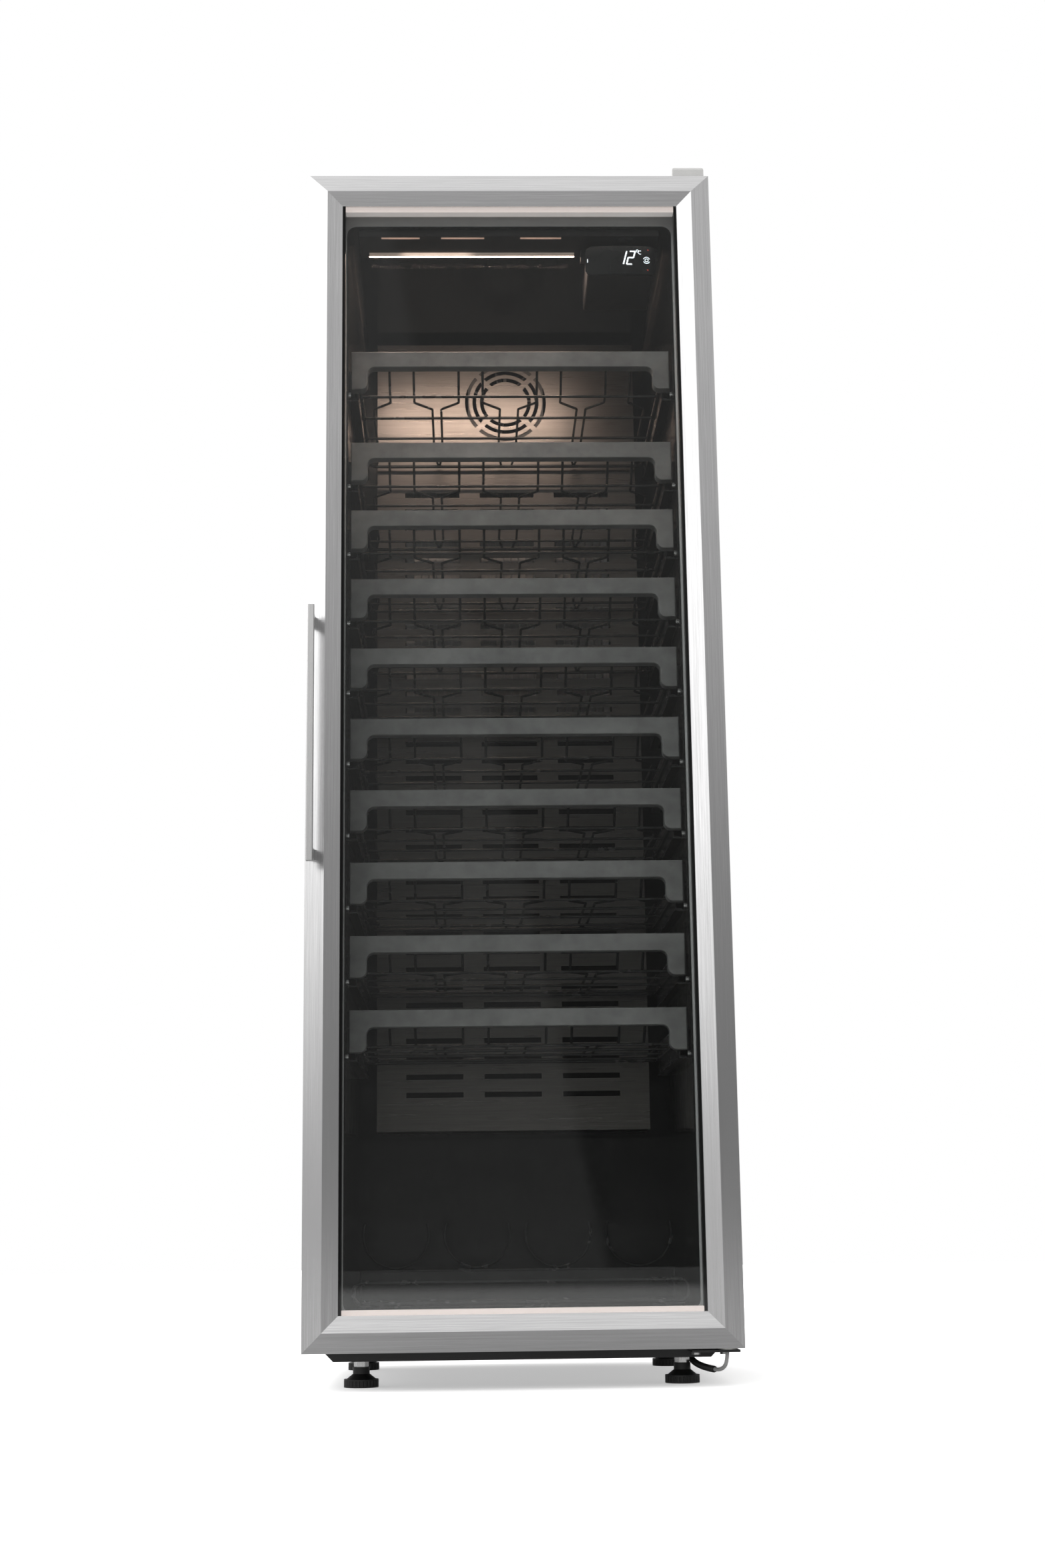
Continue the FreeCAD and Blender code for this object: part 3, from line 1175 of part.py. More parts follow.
def bottle_rack():
    """Solids of the wire rack on the cavity floor: base loop, upright front loop, cross wire and cradles."""
    half = CAVITY_HALF - BOTTLE_RACK_SIDE_GAP
    front = CABINET_FRONT + BOTTLE_RACK_SETBACK
    back = front + BOTTLE_RACK_DEPTH
    low = CAVITY_FLOOR + FRAME_WIRE + 0.2
    rail_low = low + FRONT_LOOP_RISE
    rail_high = rail_low + FRONT_LOOP_HEIGHT
    loop_front = front + BASE_LOOP_SETBACK
    front_loop = bent_rod(
        FRAME_WIRE,
        [
            (0, front, rail_low),
            (-half, front, rail_low),
            (-half, front, rail_high),
            (half, front, rail_high),
            (half, front, rail_low),
            (0, front, rail_low),
        ],
        11,
    )
    base_parts = [
        bent_rod(
            FRAME_WIRE,
            [
                (0, loop_front, low),
                (-half, loop_front, low),
                (-half, back, low),
                (half, back, low),
                (half, loop_front, low),
                (0, loop_front, low),
            ],
            15,
        )
    ]
    count = int(2 * (half - FLOOR_CRADLE_RADIUS) / FLOOR_BOTTLE_PITCH) + 1
    places = [FLOOR_BOTTLE_PITCH * (number - (count - 1) / 2) for number in range(count)]
    for x in places:
        for side in (-BOTTLE_RAIL_OFFSET, BOTTLE_RAIL_OFFSET):
            base_parts.append(rod(CROSS_WIRE, (x + side, front, rail_low), (x + side, back, low)))
    behind_rail = box(-half, half, front, back + FRAME_WIRE, low - FRAME_WIRE, rail_low + FRAME_WIRE)
    base = fused([base_parts[0], *[part.common(behind_rail) for part in base_parts[1:]]]).cut(front_loop)

    cradle_y = front + FLOOR_CRADLE_SETBACK
    cross_level = low + FLOOR_CRADLE_RISE
    cross_parts = [rod(CROSS_WIRE, (-half, cradle_y, cross_level), (half, cradle_y, cross_level))]
    for x in (-half, half):
        cross_parts.append(rod(CROSS_WIRE, (x, cradle_y, low), (x, cradle_y, cross_level)))
    cross_wire = fused(cross_parts).cut(base)

    cradle_bottom = cross_level + CROSS_WIRE + CRADLE_WIRE - WELD_SINK
    cradle_rise = cradle_bottom + FLOOR_CRADLE_RADIUS
    cradles = []
    for x in places:
        ring_section = Part.Face(
            Part.Wire([Part.makeCircle(CRADLE_WIRE, V(x, cradle_y, cradle_bottom), V(1, 0, 0))])
        )
        ring_section.rotate(V(x, cradle_y, cradle_rise), V(0, 1, 0), FLOOR_CRADLE_SPREAD)
        cradle = ring_section.revolve(V(x, cradle_y, cradle_rise), V(0, 1, 0), -2 * FLOOR_CRADLE_SPREAD)
        cradles.append(cradle.cut(cross_wire))
    save("bottle_rack", [base, front_loop, cross_wire, *cradles])


def main():
    """Builds every piece and writes one file for each node."""
    os.makedirs("parts", exist_ok=True)
    left_stile = door_frame()
    hinge_bushes()
    glazing()
    door_handle(left_stile)
    liner_outside, cavity = liner_blocks()
    save("inner_liner", [liner_outside.cut(cavity)])
    cabinet_shell(liner_outside)
    base_frame()
    levelling_feet()
    screws = hinges()
    cooling()
    header_and_controller()
    screws.extend(shelves())
    save("cabinet_screws", screws)
    bottle_rack()


main()
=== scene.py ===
"""Looks of a tall wine cooler with a glass door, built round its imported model."""

import logging
import math
from dataclasses import dataclass
from enum import Enum
from typing import Sequence

import bpy
import numpy as np
from mathutils import Euler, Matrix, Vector


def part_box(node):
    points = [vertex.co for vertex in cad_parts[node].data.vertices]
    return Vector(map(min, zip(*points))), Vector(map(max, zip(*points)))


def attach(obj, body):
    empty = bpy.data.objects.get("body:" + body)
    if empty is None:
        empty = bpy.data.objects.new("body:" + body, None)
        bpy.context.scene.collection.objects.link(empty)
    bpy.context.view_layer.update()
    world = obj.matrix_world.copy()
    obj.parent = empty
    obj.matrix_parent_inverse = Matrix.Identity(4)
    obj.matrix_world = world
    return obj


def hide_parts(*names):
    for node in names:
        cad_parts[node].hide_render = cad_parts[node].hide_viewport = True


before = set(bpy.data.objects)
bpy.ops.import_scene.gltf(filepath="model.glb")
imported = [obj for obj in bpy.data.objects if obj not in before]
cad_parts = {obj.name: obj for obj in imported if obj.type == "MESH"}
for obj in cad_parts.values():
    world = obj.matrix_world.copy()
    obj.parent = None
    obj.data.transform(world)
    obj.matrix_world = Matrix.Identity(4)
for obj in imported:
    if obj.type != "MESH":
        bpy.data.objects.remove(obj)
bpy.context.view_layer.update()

LOG = logging.getLogger("wine_cooler")
MM = 0.001

Point = tuple[float, float, float]
Colour = tuple[float, float, float]


class Axis(Enum):
    """The way a grain or a profile runs."""

    X = 0
    Y = 1
    Z = 2


# ---- node trees ----
class Tree:
    """A node tree with short calls for adding and joining nodes."""

    def __init__(self, tree: bpy.types.NodeTree) -> None:
        """Wraps a node tree.

        Args:
            tree: the material's, world's or group's tree.
        """
        self.tree = tree

    def add(self, kind: str, **settings: object) -> bpy.types.Node:
        """Adds a node and sets its plain properties.

        Args:
            kind: the node's type name.
            settings: property names and their values.

        Returns:
            The new node.
        """
        made = self.tree.nodes.new(kind)
        for name, value in settings.items():
            setattr(made, name, value)
        return made

    def join(self, source: bpy.types.NodeSocket, target: bpy.types.NodeSocket) -> None:
        """Links an output to an input."""
        self.tree.links.new(source, target)

    def math(self, operation: str, first: object, second: object = 0.0) -> bpy.types.NodeSocket:
        """One sum on two numbers.

        Args:
            operation: the Math node's operation.
            first: an output socket or a number.
            second: an output socket or a number.

        Returns:
            The socket with the result.
        """
        made = self.add("ShaderNodeMath", operation=operation)
        for place, value in enumerate((first, second)):
            if isinstance(value, bpy.types.NodeSocket):
                self.join(value, made.inputs[place])
            else:
                made.inputs[place].default_value = value
        return made.outputs[0]

    def between(self, value: object, low: object, high: object, out_low: float = 0.0, out_high: float = 1.0,
                smooth: bool = True) -> bpy.types.NodeSocket:
        """Maps a value from one range to another, held at both ends.

        Args:
            value: the socket to map.
            low: where the result is out_low.
            high: where the result is out_high.
            out_low: result at low.
            out_high: result at high.
            smooth: an even S-shaped change in place of a straight one.

        Returns:
            The mapped value.
        """
        made = self.add("ShaderNodeMapRange")
        made.interpolation_type = "SMOOTHSTEP" if smooth else "LINEAR"
        made.clamp = True
        for place, number in enumerate((value, low, high, out_low, out_high)):
            if isinstance(number, bpy.types.NodeSocket):
                self.join(number, made.inputs[place])
            else:
                made.inputs[place].default_value = number
        return made.outputs["Result"]

    def mix(self, share: object, first: object, second: object) -> bpy.types.NodeSocket:
        """Mixes two colours.

        Args:
            share: how much of the second, a socket or a number.
            first: a colour or a socket.
            second: a colour or a socket.

        Returns:
            The mixed colour.
        """
        made = self.add("ShaderNodeMix", data_type="RGBA")
        for name, value in (("Factor_Float", share), ("A_Color", first), ("B_Color", second)):
            socket = next(s for s in made.inputs if s.identifier == name)
            if isinstance(value, bpy.types.NodeSocket):
                self.join(value, socket)
            elif isinstance(value, tuple):
                socket.default_value = (*value, 1.0)
            else:
                socket.default_value = value
        return next(s for s in made.outputs if s.identifier == "Result_Color")

    def place(self) -> bpy.types.NodeSocket:
        """The point on the surface in the object's own metres."""
        return self.add("ShaderNodeTexCoord").outputs["Object"]

    def parts(self, vector: bpy.types.NodeSocket) -> tuple[bpy.types.NodeSocket, ...]:
        """The three numbers of a vector."""
        made = self.add("ShaderNodeSeparateXYZ")
        self.join(vector, made.inputs[0])
        return tuple(made.outputs)

    def noise(self, vector: bpy.types.NodeSocket, scale: Point, detail: float = 2.0,
              rough: float = 0.5) -> bpy.types.NodeSocket:
        """Noise with its own number of cells per metre along each axis.

        Args:
            vector: the place in metres.
            scale: cells per metre along X, Y and Z.
            detail: octaves.
            rough: how strong the finer octaves are.

        Returns:
            The noise value, about 0.5 in the middle.
        """
        stretch = self.add("ShaderNodeVectorMath", operation="MULTIPLY")
        self.join(vector, stretch.inputs[0])
        stretch.inputs[1].default_value = scale
        made = self.add("ShaderNodeTexNoise")
        made.inputs["Scale"].default_value = 1.0
        made.inputs["Detail"].default_value = detail
        made.inputs["Roughness"].default_value = rough
        self.join(stretch.outputs[0], made.inputs["Vector"])
        return made.outputs[0]

    def bump(self, height: bpy.types.NodeSocket, depth: float, strength: float = 1.0) -> bpy.types.NodeSocket:
        """A normal from a height.

        Args:
            height: the height, 0 to 1.
            depth: metres of that height.
            strength: share of the effect.

        Returns:
            The normal.
        """
        made = self.add("ShaderNodeBump")
        made.inputs["Strength"].default_value = strength
        made.inputs["Distance"].default_value = depth
        self.join(height, made.inputs["Height"])
        return made.outputs[0]


def new_group(name: str, inputs: Sequence[tuple[str, str, object]], outputs: Sequence[tuple[str, str]]
              ) -> tuple[bpy.types.NodeTree, Tree, bpy.types.Node, bpy.types.Node]:
    """Makes an empty shader node group with named sockets.

    Args:
        name: the group's name.
        inputs: name, socket type and first value of each input.
        outputs: name and socket type of each output.

    Returns:
        The group, its wrapped tree, its input node and its output node.
    """
    group = bpy.data.node_groups.new(name, "ShaderNodeTree")
    for label, kind, value in inputs:
        socket = group.interface.new_socket(name=label, in_out="INPUT", socket_type=kind)
        if value is not None:
            socket.default_value = value
    for label, kind in outputs:
        group.interface.new_socket(name=label, in_out="OUTPUT", socket_type=kind)
    tree = Tree(group)
    return group, tree, tree.add("NodeGroupInput"), tree.add("NodeGroupOutput")


def grain_group() -> bpy.types.NodeTree:
    """Brushed grain: long noise in a coarse and a fine layer, with the odd deeper scratch.

    Returns:
        A group that takes a place already stretched along the grain and gives Tone and Height.
    """
    group, tree, start, end = new_group(
        "brushed grain",
        (("Vector", "NodeSocketVector", None), ("Fine", "NodeSocketFloat", 0.5)),
        (("Tone", "NodeSocketFloat"), ("Height", "NodeSocketFloat")),
    )
    coarse = tree.noise(start.outputs["Vector"], (0.34, 0.34, 0.34), 3.0, 0.6)
    fine = tree.noise(start.outputs["Vector"], (1.9, 1.9, 1.9), 2.0, 0.5)
    share = tree.math("MULTIPLY", fine, start.outputs["Fine"])
    rest = tree.math("SUBTRACT", 1.0, start.outputs["Fine"])
    tone = tree.math("ADD", tree.math("MULTIPLY", coarse, rest), share)
    scratch = tree.between(tree.noise(start.outputs["Vector"], (0.8, 0.8, 0.8), 1.0), 0.66, 0.74)
    tree.join(tree.math("ADD", tone, tree.math("MULTIPLY", scratch, 0.18)), end.inputs["Tone"])
    tree.join(tree.math("SUBTRACT", fine, tree.math("MULTIPLY", scratch, 0.5)), end.inputs["Height"])
    return group


def mottle_group() -> bpy.types.NodeTree:
    """Moulded surface: cloudy handling marks, fine spark texture and a few light specks.

    Returns:
        A group that takes a place and gives Cloud, Specks and Height.
    """
    group, tree, start, end = new_group(
        "moulded surface",
        (("Vector", "NodeSocketVector", None), ("Cell", "NodeSocketFloat", 900.0)),
        (("Cloud", "NodeSocketFloat"), ("Specks", "NodeSocketFloat"), ("Height", "NodeSocketFloat")),
    )
    wide = tree.noise(start.outputs["Vector"], (9.0, 9.0, 14.0), 4.0, 0.6)
    near = tree.noise(start.outputs["Vector"], (60.0, 60.0, 60.0), 3.0, 0.6)
    cloud = tree.math("ADD", tree.math("MULTIPLY", wide, 0.65), tree.math("MULTIPLY", near, 0.35))
    dots = tree.between(tree.noise(start.outputs["Vector"], (420.0, 420.0, 420.0), 1.0), 0.72, 0.8)
    spark = tree.add("ShaderNodeTexVoronoi")
    tree.join(start.outputs["Vector"], spark.inputs["Vector"])
    tree.join(start.outputs["Cell"], spark.inputs["Scale"])
    tree.join(cloud, end.inputs["Cloud"])
    tree.join(dots, end.inputs["Specks"])
    tree.join(spark.outputs["Distance"], end.inputs["Height"])
    return group


def dust_group() -> bpy.types.NodeTree:
    """Dust that lies on faces that look up, broken by noise.

    Returns:
        A group that takes a place and gives Dust, 0 where clean.
    """
    group, tree, start, end = new_group(
        "settled dust",
        (("Vector", "NodeSocketVector", None), ("Amount", "NodeSocketFloat", 0.3)),
        (("Dust", "NodeSocketFloat"),),
    )
    normal = tree.add("ShaderNodeNewGeometry").outputs["Normal"]
    upward = tree.between(tree.parts(normal)[2], 0.35, 0.95)
    broken = tree.between(tree.noise(start.outputs["Vector"], (45.0, 45.0, 45.0), 4.0, 0.65), 0.35, 0.75)
    tree.join(tree.math("MULTIPLY", tree.math("MULTIPLY", upward, broken), start.outputs["Amount"]), end.inputs["Dust"])
    return group


GRAIN = grain_group()
MOULDED = mottle_group()
DUST = dust_group()


def grouped(tree: Tree, group: bpy.types.NodeTree, vector: bpy.types.NodeSocket, **values: float) -> bpy.types.Node:
    """Places a shared effect in a material.

    Args:
        tree: the material's tree.
        group: the effect.
        vector: the place to feed it.
        values: the other inputs by name.

    Returns:
        The group node.
    """
    made = tree.add("ShaderNodeGroup", node_tree=group)
    tree.join(vector, made.inputs["Vector"])
    for name, value in values.items():
        made.inputs[name].default_value = value
    return made


@dataclass(frozen=True)
class Surface:
    """What every finish has: a name, a colour and how it shines.

    Attributes:
        name: the material's name.
        colour: base colour, linear.
        roughness: middle roughness.
        metallic: 0 or 1.
        coat: clear coat weight.
    """

    name: str
    colour: Colour
    roughness: float = 0.5
    metallic: float = 0.0
    coat: float = 0.0

    def begin(self) -> tuple[bpy.types.Material, Tree, bpy.types.Node]:
        """Makes the material with its shader set to the plain values.

        Returns:
            The material, its tree and its shader node.
        """
        material = bpy.data.materials.new(self.name)
        material.use_nodes = True
        tree = Tree(material.node_tree)
        shader = material.node_tree.nodes["Principled BSDF"]
        shader.inputs["Base Color"].default_value = (*self.colour, 1.0)
        shader.inputs["Roughness"].default_value = self.roughness
        shader.inputs["Metallic"].default_value = self.metallic
        shader.inputs["Coat Weight"].default_value = self.coat
        return material, tree, shader

    def shade(self, factor: float) -> Colour:
        """The base colour made lighter or darker."""
        return tuple(min(1.0, part * factor) for part in self.colour)


@dataclass(frozen=True)
class Brushed(Surface):
    """Brushed or rolled metal with the grain along one axis.

    Attributes:
        grain: the axis the grain runs along.
        across: grain lines per metre across the grain.
        along: changes per metre along it.
        contrast: how far the tone swings.
        relief: depth of the grain in metres.
    """

    metallic: float = 1.0
    grain: Axis = Axis.X
    across: float = 1500.0
    along: float = 9.0
    contrast: float = 0.16
    relief: float = 0.00002

    def material(self) -> bpy.types.Material:
        """Builds it: tone, roughness and normal all follow the same grain."""
        material, tree, shader = self.begin()
        rates = [self.across] * 3
        rates[self.grain.value] = self.along
        stretch = tree.add("ShaderNodeVectorMath", operation="MULTIPLY")
        tree.join(tree.place(), stretch.inputs[0])
        stretch.inputs[1].default_value = rates
        effect = grouped(tree, GRAIN, stretch.outputs[0], Fine=0.55)
        tone = effect.outputs["Tone"]
        dark = self.shade(1.0 - self.contrast)
        light = self.shade(1.0 + self.contrast)
        tree.join(tree.mix(tree.between(tone, 0.3, 0.7, smooth=False), dark, light), shader.inputs["Base Color"])
        rough = tree.between(tone, 0.25, 0.75, self.roughness + 0.07, self.roughness - 0.05, smooth=False)
        tree.join(rough, shader.inputs["Roughness"])
        tree.join(tree.bump(effect.outputs["Height"], self.relief), shader.inputs["Normal"])
        return material


@dataclass(frozen=True)
class Moulded(Surface):
    """Moulded plastic, rubber or powder coat, with a fine texture.

    Attributes:
        cell: texture cells per metre.
        relief: depth of the texture in metres.
        swing: how far the cloudy marks change the tone.
        specks: brightness of the light specks.
        dust: dust on faces that look up.
    """

    cell: float = 900.0
    relief: float = 0.00004
    swing: float = 0.25
    specks: float = 0.0
    dust: float = 0.0

    def material(self) -> bpy.types.Material:
        """Builds it from the moulded surface and settled dust effects."""
        material, tree, shader = self.begin()
        place = tree.place()
        effect = grouped(tree, MOULDED, place, Cell=self.cell)
        cloud = tree.between(effect.outputs["Cloud"], 0.35, 0.65, smooth=False)
        colour = tree.mix(cloud, self.shade(1.0 - self.swing), self.shade(1.0 + self.swing))
        if self.specks:
            share = tree.math("MULTIPLY", effect.outputs["Specks"], self.specks)
            colour = tree.mix(share, colour, (0.5, 0.5, 0.5))
        if self.dust:
            dust = grouped(tree, DUST, place, Amount=self.dust)
            colour = tree.mix(dust.outputs["Dust"], colour, (0.42, 0.41, 0.4))
        tree.join(colour, shader.inputs["Base Color"])
        rough = tree.between(effect.outputs["Cloud"], 0.3, 0.7, self.roughness - 0.06, self.roughness + 0.08)
        tree.join(rough, shader.inputs["Roughness"])
        tree.join(tree.bump(effect.outputs["Height"], self.relief), shader.inputs["Normal"])
        return material


@dataclass(frozen=True)
class Gloss(Surface):
    """Glossy vacuum-formed sheet: slow waves in the reflection and a few fine scuffs."""

    wave: float = 26.0
    relief: float = 0.00035

    def material(self) -> bpy.types.Material:
        """Builds it: slow noise bends the normal and finer noise changes the roughness."""
        material, tree, shader = self.begin()
        place = tree.place()
        slow = tree.noise(place, (self.wave,) * 3, 1.0)
        scuff = tree.noise(place, (240.0, 240.0, 30.0), 3.0, 0.6)
        tree.join(tree.between(scuff, 0.35, 0.75, self.roughness, self.roughness + 0.12), shader.inputs["Roughness"])
        tree.join(tree.mix(tree.between(slow, 0.3, 0.7), self.shade(0.8), self.shade(1.35)), shader.inputs["Base Color"])
        tree.join(tree.bump(slow, self.relief), shader.inputs["Normal"])
        return material


@dataclass(frozen=True)
class Stud(Moulded):
    """Moulded plastic with a steel stud above a height.

    Attributes:
        steel_above: height of the change in metres.
    """

    steel_above: float = 0.03

    def material(self) -> bpy.types.Material:
        """Builds the plastic, then mixes in zinc-plated steel by height."""
        material = super().material()
        tree = Tree(material.node_tree)
        shader = material.node_tree.nodes["Principled BSDF"]
        plastic = shader.inputs["Base Color"].links[0].from_socket
        height = tree.parts(tree.place())[2]
        steel = tree.math("GREATER_THAN", height, self.steel_above)
        tree.join(tree.mix(steel, plastic, (0.5, 0.49, 0.47)), shader.inputs["Base Color"])
        tree.join(steel, shader.inputs["Metallic"])
        thread = tree.math("SINE", tree.math("MULTIPLY", height, 2.0 * math.pi / 0.0018))
        tree.join(tree.bump(tree.math("MULTIPLY", thread, steel), 0.0004), shader.inputs["Normal"])
        return material


@dataclass(frozen=True)
class Glow(Surface):
    """A lit surface.

    Attributes:
        light: colour of the light.
        strength: how bright it is.
        spans: where along X it is brightest, in metres.
        rest: share of the light outside the spans.
    """

    light: Colour = (1.0, 1.0, 1.0)
    strength: float = 1.0
    spans: tuple[tuple[float, float], ...] = ()
    rest: float = 0.1

    def material(self) -> bpy.types.Material:
        """Builds it with the light a little uneven, and brighter along the given spans of X."""
        material, tree, shader = self.begin()
        shader.inputs["Emission Strength"].default_value = self.strength
        if self.spans:
            x = tree.parts(tree.place())[0]
            lit = self.rest
            for low, high in self.spans:
                rise = tree.between(x, low - 0.012, low + 0.012)
                fall = tree.between(x, high - 0.012, high + 0.012, 1.0, 0.0)
                lit = tree.math("ADD", tree.math("MULTIPLY", rise, fall), lit)
            tree.join(tree.math("MULTIPLY", lit, self.strength), shader.inputs["Emission Strength"])
        uneven = tree.noise(tree.place(), (90.0, 90.0, 90.0), 1.0)
        dim = tuple(part * 0.82 for part in self.light)
        tree.join(tree.mix(tree.between(uneven, 0.3, 0.7), dim, self.light), shader.inputs["Emission Color"])
        return material


@dataclass(frozen=True)
class Pane(Surface):
    """Clear door glass that lets lamps through, with the faintest smears."""

    def material(self) -> bpy.types.Material:
        """Builds it: the glass shader, with a transparent one for shadow rays."""
        material, tree, shader = self.begin()
        shader.inputs["Transmission Weight"].default_value = 1.0
        shader.inputs["IOR"].default_value = 1.45
        smear = tree.noise(tree.place(), (5.0, 5.0, 2.0), 4.0, 0.6)
        tint = tree.mix(tree.between(smear, 0.5, 0.8), self.colour, self.shade(0.985))
        tree.join(tint, shader.inputs["Base Color"])
        clear = tree.add("ShaderNodeBsdfTransparent")
        clear.inputs["Color"].default_value = (*self.colour, 1.0)
        either = tree.add("ShaderNodeMixShader")
        ray = tree.add("ShaderNodeLightPath")
        tree.join(ray.outputs["Is Shadow Ray"], either.inputs[0])
        tree.join(shader.outputs[0], either.inputs[1])
        tree.join(clear.outputs[0], either.inputs[2])
        tree.join(either.outputs[0], material.node_tree.nodes["Material Output"].inputs["Surface"])
        return material


# ---- meshes ----
def mesh_piece(name: str, points: np.ndarray, faces: np.ndarray, smooth: bool = True) -> bpy.types.Object:
    """Puts a mesh worked out as arrays into the scene.

    Args:
        name: the piece's name.
        points: one row of three numbers a point, in metres.
        faces: one row of point numbers a face, all with as many corners.
        smooth: shade the faces smoothly.

    Returns:
        The piece, at the origin.
    """
    mesh = bpy.data.meshes.new(name)
    mesh.from_pydata(np.asarray(points, float).tolist(), [], np.asarray(faces, int).tolist())
    mesh.polygons.foreach_set("use_smooth", np.full(len(mesh.polygons), smooth))
    mesh.update()
    piece = bpy.data.objects.new(name, mesh)
    bpy.context.scene.collection.objects.link(piece)
    return piece


def grid_faces(rows: int, columns: int, wrap_rows: bool = False, wrap_columns: bool = False) -> np.ndarray:
    """The four-cornered faces of a grid of points.

    Args:
        rows: points along the first way.
        columns: points along the second way.
        wrap_rows: the last row joins the first.
        wrap_columns: the last column joins the first.

    Returns:
        One row of four point numbers a face.
    """
    across = np.arange(rows if wrap_rows else rows - 1)
    down = np.arange(columns if wrap_columns else columns - 1)
    row, column = (part.ravel() for part in np.meshgrid(across, down, indexing="ij"))
    next_row, next_column = (row + 1) % rows, (column + 1) % columns
    return np.stack(
        (row * columns + column, next_row * columns + column, next_row * columns + next_column,
         row * columns + next_column), axis=1)


def loop_sweep(name: str, half: float, bottom: float, top: float, profile: np.ndarray,
               smooth: bool = True) -> bpy.types.Object:
    """Carries a closed profile round an upright rectangle with mitred corners.

    Args:
        name: the piece's name.
        half: half the rectangle's width in metres.
        bottom: its lower edge.
        top: its upper edge.
        profile: rows of (inset from the rectangle, Y).
        smooth: shade the faces smoothly.

    Returns:
        The piece, at the origin.
    """
    corners = np.array([(-half, bottom), (half, bottom), (half, top), (-half, top)])
    inward = np.array([(1.0, 1.0), (-1.0, 1.0), (-1.0, -1.0), (1.0, -1.0)])
    flat = corners[:, None, :] + inward[:, None, :] * profile[None, :, :1]
    depth = np.broadcast_to(profile[None, :, 1], flat.shape[:2])
    points = np.stack((flat[..., 0], depth, flat[..., 1]), axis=-1).reshape(-1, 3)
    faces = grid_faces(len(corners), len(profile), wrap_rows=True, wrap_columns=True)
    return mesh_piece(name, points, faces, smooth)


def tube(name: str, path: np.ndarray, radii: np.ndarray, sides: int = 20) -> bpy.types.Object:
    """Carries a circle of changing radius along a path.

    Args:
        name: the piece's name.
        path: rows of points in metres.
        radii: one radius a point.
        sides: corners of the circle.

    Returns:
        The piece, at the origin.
    """
    along = np.gradient(path, axis=0)
    along /= np.linalg.norm(along, axis=1, keepdims=True)
    first = np.cross(along, (0.0, 0.0, 1.0))
    first /= np.linalg.norm(first, axis=1, keepdims=True)
    second = np.cross(along, first)
    turn = np.linspace(0.0, 2.0 * math.pi, sides, endpoint=False)[None, :, None]
    ring = first[:, None, :] * np.cos(turn) + second[:, None, :] * np.sin(turn)
    points = path[:, None, :] + ring * radii[:, None, None]
    return mesh_piece(name, points.reshape(-1, 3), grid_faces(len(path), sides, wrap_columns=True))


def dress(node: str, material: bpy.types.Material) -> None:
    """Gives a CAD node one material on every slot."""
    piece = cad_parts[node]
    piece.data.materials.clear()
    piece.data.materials.append(material)


def finish_piece(piece: bpy.types.Object, material: bpy.types.Material, body: str, slot: str,
                 *nodes: str) -> bpy.types.Object:
    """Gives a new piece its material and its body.

    Args:
        piece: the piece, in place.
        material: its material.
        body: the CAD body it rides on.
        slot: not used.
        nodes: the CAD nodes it stands for.

    Returns:
        The piece.
    """
    piece.data.materials.append(material)
    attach(piece, body)
    if nodes:
        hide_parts(*nodes)
    LOG.info("%s rides on %s", piece.name, body)
    return piece


